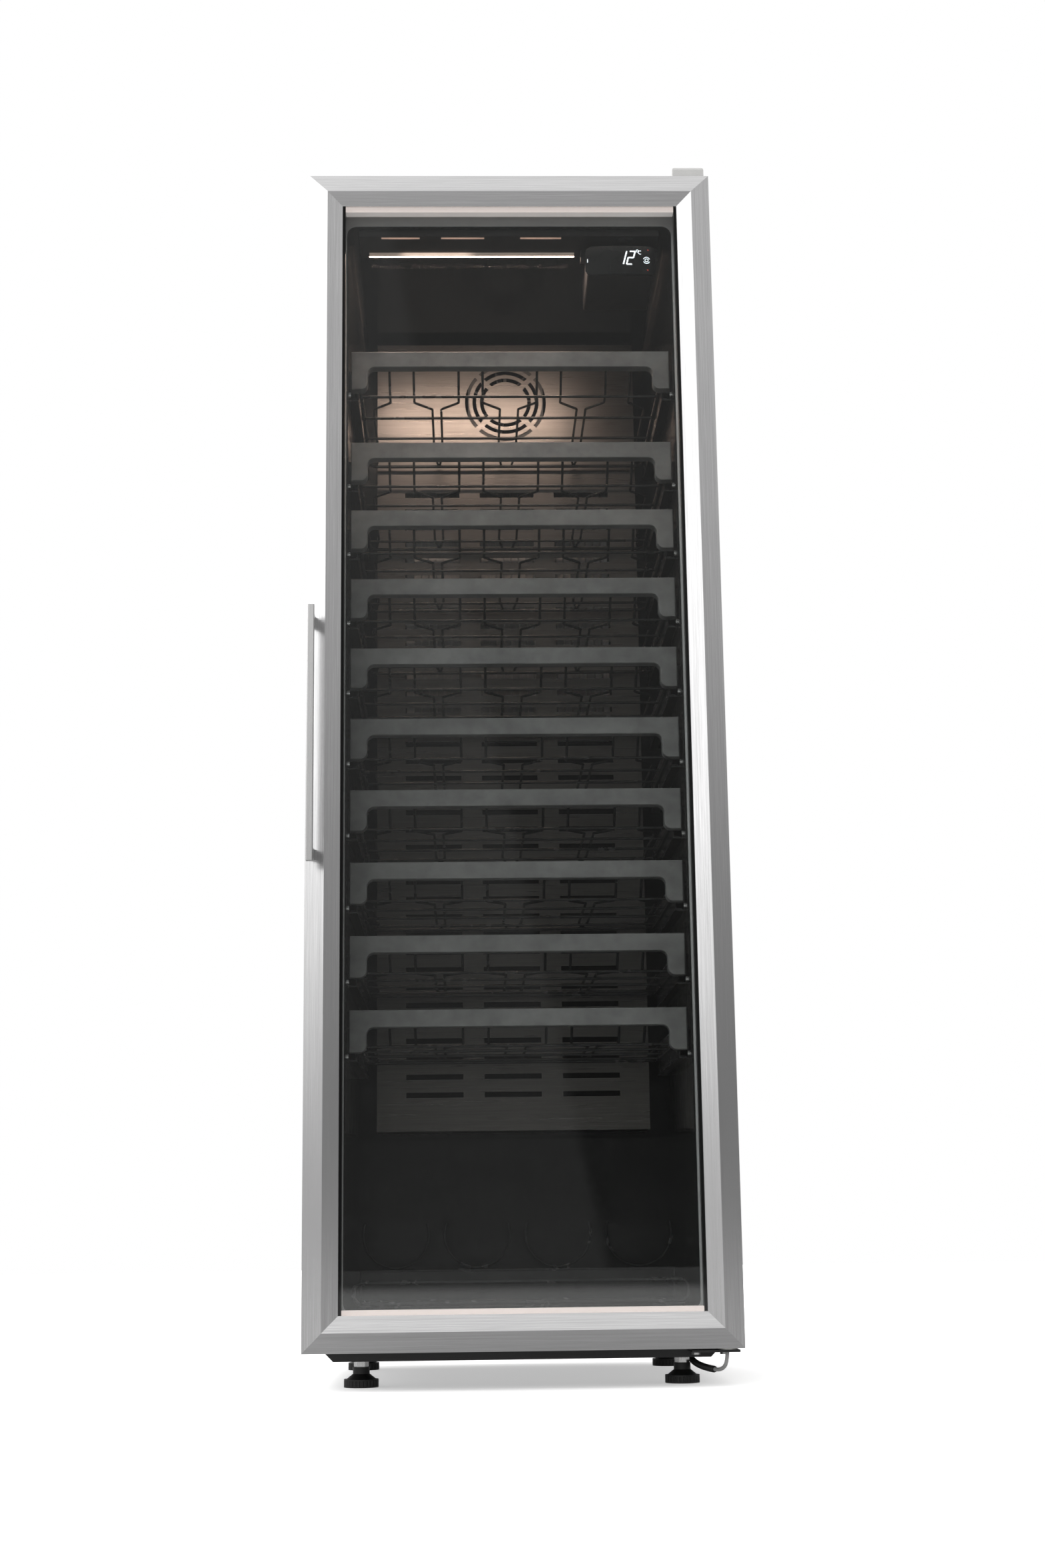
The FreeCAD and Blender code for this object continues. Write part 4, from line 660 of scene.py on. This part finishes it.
# ---- sub-assemblies ----
@dataclass
class Door:
    """The glass door: brushed frame, double glazing, seal and bar handle."""

    metal: Colour = (0.56, 0.56, 0.565)
    metal_roughness: float = 0.21

    def dress_parts(self) -> None:
        """Dresses the CAD pieces of the door."""
        upright = Brushed("brushed upright", self.metal, self.metal_roughness, grain=Axis.Z)
        level = Brushed("brushed level", self.metal, self.metal_roughness, grain=Axis.X)
        dress("door_stiles", upright.material())
        dress("door_rails", level.material())
        handle = Brushed("handle steel", (0.5, 0.5, 0.5), 0.26, grain=Axis.Z, across=2200.0)
        dress("door_handle", handle.material())
        dress("glass_panes", Pane("door glass", (0.97, 0.98, 0.975), 0.0).material())
        dress("glass_spacer", self.spacer())
        black = Moulded("retainer plastic", (0.02, 0.02, 0.02), 0.45)
        dress("glass_retainer", black.material())
        dress("door_corner_keys", black.material())
        rubber = Moulded("seal rubber", (0.035, 0.035, 0.036), 0.55, swing=0.15).material()
        dress("door_gasket", rubber)
        finish_piece(self.seal(), rubber, "door", "seal_rubber", "door_gasket")
        dress("hinge_bushes", Moulded("bush plastic", (0.7, 0.7, 0.66), 0.4).material())

    def seal(self) -> bpy.types.Object:
        """The seal: a clipped foot, one bellows fold and a flat magnet face, mitred at the corners."""
        low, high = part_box("door_gasket")
        width, depth = 14.0, (high.y - low.y) / MM
        inset_depth = np.array([
            (1.0, 0.0), (1.0, 1.6), (3.2, 2.4), (3.6, 3.4), (1.2, 4.6), (0.3, 5.8), (1.2, 7.0), (2.6, 7.8),
            (0.6, 8.4), (0.0, 9.2), (0.0, depth - 0.6), (0.5, depth), (width - 0.5, depth),
            (width, depth - 0.6), (width, 9.2), (width - 0.6, 8.4), (width - 2.6, 7.8), (width - 1.2, 7.0),
            (width - 0.3, 5.8), (width - 1.2, 4.6), (width - 3.6, 3.4), (width - 3.2, 2.4), (width - 1.0, 1.6),
            (width - 1.0, 0.0),
        ]) * MM
        profile = inset_depth + np.array([(0.0, low.y)])
        return loop_sweep("door_seal", high.x, low.z, high.z, profile, smooth=False)

    def spacer(self) -> bpy.types.Material:
        """The spacer round the gap: pale bars at top and bottom that glow faintly as painted light, and black bars up
        the sides as painted shade.
        """
        finish = Surface("spacer bar painted glow", (0.95, 0.9, 0.88), 0.4)
        material, tree, shader = finish.begin()
        low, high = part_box("glass_spacer")
        side = high.x - 12.5 * MM
        x, _, z = tree.parts(tree.place())
        shaded_side_bars = tree.math("GREATER_THAN", tree.math("ABSOLUTE", x), side)
        dots = tree.add("ShaderNodeTexVoronoi")
        dots.inputs["Scale"].default_value = 380.0
        hole = tree.between(dots.outputs["Distance"], 0.1, 0.2)
        pale = tree.mix(hole, finish.shade(0.72), finish.colour)
        # Past the mask the side bars go black: painted shade on a bar that is pale at top and bottom.
        colour = tree.mix(shaded_side_bars, pale, (0.015, 0.015, 0.015))
        tree.join(colour, shader.inputs["Base Color"])
        # The bar's colour also glows faintly: painted light on a part that is no lamp.
        tree.join(colour, shader.inputs["Emission Color"])
        shader.inputs["Emission Strength"].default_value = 0.2
        return material


@dataclass
class Cabinet:
    """Shell, liner, back, base, hinges and what the cabinet carries."""

    def dress_parts(self) -> None:
        """Dresses the CAD pieces of the cabinet."""
        paint = Moulded("cabinet paint", (0.58, 0.58, 0.585), 0.42, cell=1100.0, swing=0.03, dust=0.05)
        dress("outer_shell", paint.material())
        dress("inner_liner", Gloss("liner gloss", (0.01, 0.0098, 0.0095), 0.12).material())
        dress("insulation_foam", Moulded("foam", (0.62, 0.5, 0.26), 0.85, cell=260.0, relief=0.0004).material())
        dress("back_panel", Brushed("back sheet", (0.34, 0.35, 0.36), 0.42, grain=Axis.Z, across=500.0).material())
        steel = Moulded("black steel", (0.022, 0.022, 0.023), 0.38, cell=700.0, dust=0.25)
        for node in ("base_frame", "machine_grille", "hinge_plates", "light_bar"):
            dress(node, steel.material())
        dress("compressor", Moulded("compressor enamel", (0.018, 0.018, 0.02), 0.25, cell=200.0, dust=0.4).material())
        fins = Brushed("coil fins", (0.6, 0.6, 0.6), 0.35, grain=Axis.Y, across=900.0)
        dress("condenser_coil", fins.material())
        dress("evaporator_coil", fins.material())
        plastic = Moulded("black plastic", (0.025, 0.025, 0.026), 0.42, dust=0.15)
        for node in ("fan_frames", "evaporator_fan_rotor", "condenser_fan_rotor", "drip_tray", "mains_inlet",
                     "controller_housing", "light_switch_rocker"):
            dress(node, plastic.material())
        # Painted shade: the duct's steel colour is set far below bare steel so the panel reads as shaded.
        dress("duct_panel", Brushed("duct steel painted dark", (0.155, 0.146, 0.139), 0.3, grain=Axis.X, across=800.0).material())
        screws = Brushed("screw steel", (0.7, 0.7, 0.7), 0.25, grain=Axis.Z, across=900.0)
        for node in ("cabinet_screws", "foot_lock_nuts"):
            dress(node, screws.material())
        dress("shelf_runners", Brushed("runner steel", (0.12, 0.12, 0.12), 0.3, grain=Axis.Y).material())
        dress("top_hinge_cover", Moulded("cover plastic", (0.62, 0.62, 0.61), 0.4, swing=0.06).material())
        dress("controller_window", Gloss("display black", (0.012, 0.012, 0.012), 0.06, relief=0.0).material())
        warm = Glow("light diffuser", (0.6, 0.56, 0.52), 0.4, light=(1.0, 0.74, 0.6), strength=0.8,
                    spans=((-0.155, -0.055),), rest=0.22)
        dress("light_lens", warm.material())
        foot = Stud("foot plastic", (0.014, 0.014, 0.014), 0.45, cell=500.0, steel_above=0.0262)
        for side in ("front_left", "front_right", "rear_left", "rear_right"):
            dress(f"levelling_foot_{side}", foot.material())


@dataclass
class HeaderLightStreaks:
    """Three warm glowing patches under the front lip of the header: painted light for the warm light streaks there."""

    spans: tuple[tuple[float, float], ...] = ((-0.184, -0.129), (-0.098, -0.036), (0.016, 0.075))
    depth: float = 5.0 * MM
    drop: float = 0.8 * MM

    def build(self) -> None:
        """Builds the painted light streaks as shallow glowing domes in one piece."""
        low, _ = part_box("light_bar")
        share = np.linspace(-1.0, 1.0, 9)
        u, v = (part.ravel() for part in np.meshgrid(share, share, indexing="ij"))
        dome = (1.0 - u**4) * (1.0 - v**4)
        points, faces = [], []
        for number, (start, end) in enumerate(self.spans):
            middle, half = (start + end) / 2, (end - start) / 2
            y = low.y + 4.0 * MM + self.depth / 2 * (1.0 + v)
            points.append(np.stack((middle + half * u, y, low.z - self.drop * dome), axis=1))
            faces.append(grid_faces(len(share), len(share)) + number * len(u))
        piece = mesh_piece("painted_light_streaks", np.concatenate(points), np.concatenate(faces))
        # These domes glow though they are no lamp: painted warm light streaks on the header lip.
        glow = Glow("painted streak glow", (0.5, 0.4, 0.35), 0.4, light=(1.0, 0.6, 0.45), strength=0.42)
        finish_piece(piece, glow.material(), "cabinet", "light_diffuser")


@dataclass
class Display:
    """Lit figures and marks on the controller's bowed window."""

    bow: float = 5.0 * MM
    lift: float = 0.12 * MM

    def strip(self, points: Sequence[tuple[float, float]], width: float, steps: int = 10
              ) -> tuple[np.ndarray, np.ndarray]:
        """A lit stroke on the window.

        Args:
            points: corners of the stroke as shares of the window's width and height.
            width: stroke width in metres.
            steps: divisions of each straight run.

        Returns:
            Its points and faces.
        """
        low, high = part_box("controller_window")
        corners = np.array(points, float)
        share = np.linspace(0.0, len(corners) - 1.0, (len(corners) - 1) * steps + 1)
        line = np.stack([np.interp(share, np.arange(len(corners)), corners[:, axis]) for axis in (0, 1)], axis=1)
        line = line * (high.x - low.x, high.z - low.z) + (low.x, low.z)
        along = np.gradient(line, axis=0)
        along /= np.linalg.norm(along, axis=1, keepdims=True)
        across = np.stack((-along[:, 1], along[:, 0]), axis=1) * width / 2
        flat = np.concatenate((line + across, line - across))
        reach = (high.x - low.x) / 2
        radius = (reach**2 + self.bow**2) / (2 * self.bow)
        away = flat[:, 0] - (low.x + high.x) / 2
        depth = low.y + radius - np.sqrt(radius**2 - away**2) - self.lift
        points_3d = np.stack((flat[:, 0], depth, flat[:, 1]), axis=1)
        count = len(line)
        row = np.arange(count - 1)
        return points_3d, np.stack((row, row + 1, row + 1 + count, row + count), axis=1)

    def marks(self, name: str, strokes: Sequence[tuple[Sequence[tuple[float, float]], float]]) -> bpy.types.Object:
        """Joins strokes into one piece.

        Args:
            name: the piece's name.
            strokes: the corners and the width of each stroke.

        Returns:
            The piece.
        """
        made = [self.strip(points, width) for points, width in strokes]
        starts = np.cumsum([0] + [len(points) for points, _ in made[:-1]])
        faces = np.concatenate([part + start for (_, part), start in zip(made, starts)])
        return mesh_piece(name, np.concatenate([points for points, _ in made]), faces, smooth=False)

    def ring(self, middle: tuple[float, float], radius: float, start: float = 0.0, end: float = 1.0
             ) -> list[tuple[float, float]]:
        """Corners of an arc on the window.

        Args:
            middle: its middle as shares of the window.
            radius: its radius as a share of the window's height.
            start: first turn.
            end: last turn.

        Returns:
            The corners.
        """
        low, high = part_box("controller_window")
        squash = (high.z - low.z) / (high.x - low.x)
        turns = np.linspace(start, end, 13) * 2.0 * math.pi
        return [(middle[0] + radius * squash * math.cos(t), middle[1] + radius * math.sin(t)) for t in turns]

    def build(self) -> None:
        """Builds the two figures, the degree mark, the icons and two small red lamps."""
        bar, thin = 1.9 * MM, 0.7 * MM
        lean = 0.05
        top, middle, bottom = 0.80, 0.575, 0.34
        one = ((0.535 + lean, top), (0.535, bottom))
        left, right = 0.58, 0.655
        figures = [
            (one, bar),
            (((left + lean, top), (right + lean, top)), bar),
            (((right + lean, top), (right + lean / 2, middle)), bar),
            (((right + lean / 2, middle), (left + lean / 2, middle)), bar),
            (((left + lean / 2, middle), (left, bottom)), bar),
            (((left, bottom), (right, bottom)), bar),
            (self.ring((0.735, 0.82), 0.04), thin),
            (self.ring((0.775, 0.77), 0.06, 0.15, 0.85), thin),
            (self.ring((0.866, 0.5), 0.055), thin),
            (self.ring((0.866, 0.5), 0.11, 0.06, 0.44), thin),
            (self.ring((0.866, 0.5), 0.11, 0.56, 0.94), thin),
            (((0.03, 0.44), (0.03, 0.56)), bar / 2),
        ]
        white = Glow("display white", (0.3, 0.3, 0.3), 0.4, light=(0.86, 0.93, 1.0), strength=2.6).material()
        finish_piece(self.marks("display_figures", figures), white, "cabinet", "light_diffuser")
        lamps = [(((x, y - 0.012), (x, y + 0.012)), 1.0 * MM) for x, y in ((0.89, 0.87), (0.88, 0.15))]
        red = Glow("display red", (0.2, 0.01, 0.01), 0.4, light=(1.0, 0.08, 0.05), strength=1.6).material()
        finish_piece(self.marks("display_lamps", lamps), red, "cabinet", "light_diffuser")


@dataclass
class Lead:
    """The short lead from under the cabinet to the hollow hinge pin, in a corrugated sleeve for part of it."""

    radius: float = 2.5 * MM
    length: float = 0.194
    route: tuple[Point, ...] = (
        (0.2245, -0.098, 0.0475), (0.2245, -0.120, 0.034), (0.2265, -0.146, 0.027), (0.2325, -0.176, 0.0225),
        (0.2435, -0.206, 0.0195), (0.2565, -0.232, 0.019), (0.2625, -0.248, 0.032), (0.2625, -0.248, 0.062),
    )

    def build(self) -> None:
        """Builds the lead as a smooth curve and the sleeve along its line."""
        data = bpy.data.curves.new("door lead", "CURVE")
        data.dimensions = "3D"
        data.resolution_u = 16
        spline = data.splines.new("NURBS")
        spline.points.add(len(self.route) - 1)
        spline.points.foreach_set("co", np.column_stack((self.route, np.ones(len(self.route)))).ravel())
        spline.order_u = 3
        spline.use_endpoint_u = True
        lead = bpy.data.objects.new("door_lead_curve", data)
        bpy.context.scene.collection.objects.link(lead)
        line = bpy.data.meshes.new_from_object(lead)
        path = np.empty(3 * len(line.vertices))
        line.vertices.foreach_get("co", path)
        path = path.reshape(-1, 3)
        bpy.data.meshes.remove(line)
        data.bevel_depth = self.radius
        data.bevel_resolution = 5
        sheath = Moulded("lead sheath", (0.45, 0.45, 0.45), 0.5, swing=0.1)
        finish_piece(lead, sheath.material(), "cabinet", "lead_grey", "door_lead")
        sleeve = self.sleeve(path)
        rubber = Moulded("sleeve rubber", (0.02, 0.02, 0.02), 0.4)
        finish_piece(sleeve, rubber.material(), "cabinet", "black_plastic")

    def sleeve(self, path: np.ndarray) -> bpy.types.Object:
        """The corrugated sleeve: rings along the middle of the lead.

        Args:
            path: the lead's own line.

        Returns:
            The sleeve.
        """
        steps = np.linalg.norm(np.diff(path, axis=0), axis=1)
        run = np.concatenate(((0.0,), np.cumsum(steps)))
        pitch, start, end = 2.4 * MM, 0.2 * run[-1], 0.66 * run[-1]
        along = np.arange(start, end, pitch / 8)
        middle = np.stack([np.interp(along, run, path[:, axis]) for axis in range(3)], axis=1)
        wave = np.cos(2.0 * math.pi * (along - start) / pitch)
        radii = 3.9 * MM + 0.5 * MM * wave
        radii[0] = radii[-1] = self.radius
        return tube("lead_sleeve", middle, radii)


@dataclass
class Shelves:
    """Ten pull-out wire shelves with bracket-shaped fronts, and the floor rack."""

    count: int = 10

    def dress_parts(self) -> None:
        """Dresses the CAD pieces of the shelves."""
        front = Moulded("fascia satin", (0.15, 0.149, 0.148), 0.46, cell=1300.0, swing=0.3, specks=0.12, dust=0.12)
        wire = Moulded("black wire coat", (0.02, 0.02, 0.02), 0.22, cell=400.0, swing=0.1)
        face, rod = front.material(), wire.material()
        for number in range(1, self.count + 1):
            dress(f"shelf_fascia_{number:02d}", face)
            dress(f"shelf_rack_{number:02d}", rod)
        dress("bottle_rack", rod)


# ---- studio ----
@dataclass
class Studio:
    """Floor, lights, surroundings and camera."""

    eye: Point = (-0.0693, -3.124, 0.1991)
    pitch: float = 11.57
    roll: float = -0.728
    yaw: float = -1.543
    lens: float = 50.0

    def camera(self) -> None:
        """Makes the camera."""
        data = bpy.data.cameras.new("camera")
        data.lens = self.lens
        data.sensor_width = 36.0
        camera = bpy.data.objects.new("camera", data)
        bpy.context.scene.collection.objects.link(camera)
        camera.location = self.eye
        turn = Euler((math.radians(90.0 + self.pitch), 0.0, math.radians(self.yaw)), "XYZ").to_matrix()
        roll = Euler((0.0, 0.0, math.radians(self.roll)), "XYZ").to_matrix()
        camera.rotation_euler = (turn @ roll).to_euler()
        bpy.context.scene.camera = camera

    def floor(self) -> None:
        """Makes a wide pale floor, with a painted shadow round the cooler as seen and a painted shade near the cooler
        for light that bounces off it.
        """
        angle = np.linspace(0.0, 2.0 * math.pi, 65)[:-1]
        ring = np.stack((9.0 * np.cos(angle), 9.0 * np.sin(angle), np.zeros(64)), axis=1)
        floor = mesh_piece("floor", ring, np.arange(64)[None, :], smooth=False)
        material, tree, shader = Surface("studio floor", (0.75, 0.75, 0.75), 0.7).begin()
        shader.inputs["Emission Color"].default_value = (1.0, 1.0, 1.0, 1.0)
        to_eye = tree.add("ShaderNodeLightPath").outputs["Is Camera Ray"]
        away = tree.add("ShaderNodeVectorMath", operation="LENGTH")
        tree.join(tree.place(), away.inputs[0])
        # Painted shadow: as seen, the floor's glow dims close to the cooler.
        near = tree.between(away.outputs["Value"], 0.22, 0.62, 0.42, 0.85)
        unseen = tree.between(away.outputs["Value"], 4.2, 6.0, 0.1, 0.0)
        seen_light = tree.math("MULTIPLY", near, to_eye)
        other_light = tree.math("MULTIPLY", unseen, tree.math("SUBTRACT", 1.0, to_eye))
        tree.join(tree.math("ADD", seen_light, other_light), shader.inputs["Emission Strength"])
        far = tree.between(away.outputs["Value"], 4.2, 6.0, 0.6, 0.04)
        # Painted shade: for light that bounces, the floor is darker close to the cooler.
        painted_shade_close = tree.between(away.outputs["Value"], 0.5, 1.6, 0.6, 1.0)
        bright = tree.math("MAXIMUM", to_eye, tree.math("MULTIPLY", far, painted_shade_close))
        tree.join(tree.mix(bright, (0.0, 0.0, 0.0), (0.75, 0.75, 0.75)), shader.inputs["Base Color"])
        floor.data.materials.append(material)

    def lamp(self, name: str, place: Point, aim: Point, size: tuple[float, float], power: float,
             colour: Colour = (1.0, 1.0, 1.0)) -> bpy.types.Object:
        """Makes one soft rectangular lamp.

        Args:
            name: the lamp's name.
            place: where it hangs.
            aim: the point it looks at.
            size: width and height in metres.
            power: watts.
            colour: colour of the light.

        Returns:
            The lamp.
        """
        data = bpy.data.lights.new(name, "AREA")
        data.shape = "RECTANGLE"
        data.size, data.size_y = size
        data.energy = power
        data.color = colour
        lamp = bpy.data.objects.new(name, data)
        bpy.context.scene.collection.objects.link(lamp)
        lamp.location = place
        lamp.rotation_euler = (Vector(aim) - Vector(place)).to_track_quat("-Z", "Y").to_euler()
        return lamp

    def lamps(self) -> None:
        """Hangs the studio lamps and the lamp strip under the header."""
        self.lamp("key", (-2.2, -1.6, 2.0), (0.0, 0.0, 0.9), (0.8, 0.8), 6.0)
        low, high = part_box("light_lens")
        middle = (low + high) / 2
        place = (middle.x, middle.y, low.z - 2 * MM)
        strip = self.lamp("strip", place, (middle.x, middle.y + 0.15, low.z - 0.5),
                          (high.x - low.x, high.y - low.y), 1.15, (1.0, 0.74, 0.6))
        strip.data.spread = math.radians(170.0)
        strip.visible_camera = False

    def surroundings(self) -> None:
        """Plain white to the eye; for light and reflections a dim room with a wide soft source on the left."""
        world = bpy.data.worlds.new("studio")
        bpy.context.scene.world = world
        world.use_nodes = True
        tree = Tree(world.node_tree)
        ground = world.node_tree.nodes["Background"]
        direction = tree.add("ShaderNodeTexCoord").outputs["Generated"]
        x, _, z = tree.parts(direction)
        sides = tree.between(tree.math("ABSOLUTE", x), 0.12, 0.4, tree.between(z, 0.3, 0.6, 1.7, 1.0), 0.42)
        room = tree.math("MULTIPLY", tree.between(z, -0.1, 0.85, 0.26, 1.15), sides)
        lean = tree.math("ADD", z, tree.math("MULTIPLY", x, 0.25))
        left = tree.math("MULTIPLY", tree.between(x, -0.14, -0.34), tree.between(lean, -0.15, 0.15))
        left = tree.math("MULTIPLY", left, 1.85)
        right = tree.math("MULTIPLY", tree.between(x, 0.2, 0.5), tree.between(z, 0.0, 0.4, 0.04, 0.45))
        slant = tree.math("ADD", x, tree.math("MULTIPLY", z, 0.207))
        mirrored = tree.math("ADD", tree.between(z, 0.0, 0.5, 0.03, 0.16), tree.between(slant, 0.055, 0.063, 0.06, 0.0))
        strength = tree.math("ADD", tree.math("ADD", room, left), right)
        ray = tree.add("ShaderNodeLightPath").outputs
        sharp = tree.math("MULTIPLY", ray["Is Singular Ray"], tree.between(ray["Diffuse Depth"], 0.0, 1.0, 1.0, 0.0))
        blurred = tree.math("SUBTRACT", 1.0, sharp)
        strength = tree.math("ADD", tree.math("MULTIPLY", strength, blurred), tree.math("MULTIPLY", mirrored, sharp))
        tree.join(strength, ground.inputs["Strength"])
        ground.inputs["Color"].default_value = (1.0, 0.995, 0.99, 1.0)
        plain = tree.add("ShaderNodeBackground")
        plain.inputs["Color"].default_value = (1.0, 1.0, 1.0, 1.0)
        either = tree.add("ShaderNodeMixShader")
        tree.join(tree.add("ShaderNodeLightPath").outputs["Is Camera Ray"], either.inputs[0])
        tree.join(ground.outputs[0], either.inputs[1])
        tree.join(plain.outputs[0], either.inputs[2])
        tree.join(either.outputs[0], world.node_tree.nodes["World Output"].inputs["Surface"])
        bpy.context.scene.view_settings.view_transform = "Standard"


def main() -> None:
    """Builds the looks, then the studio."""
    logging.basicConfig(level=logging.INFO)
    for part in (Door(), Cabinet(), Shelves()):
        part.dress_parts()
        LOG.info("dressed %s", type(part).__name__)
    HeaderLightStreaks().build()
    Display().build()
    Lead().build()
    studio = Studio()
    studio.camera()
    studio.floor()
    studio.lamps()
    studio.surroundings()


if __name__ == "__main__":
    main()
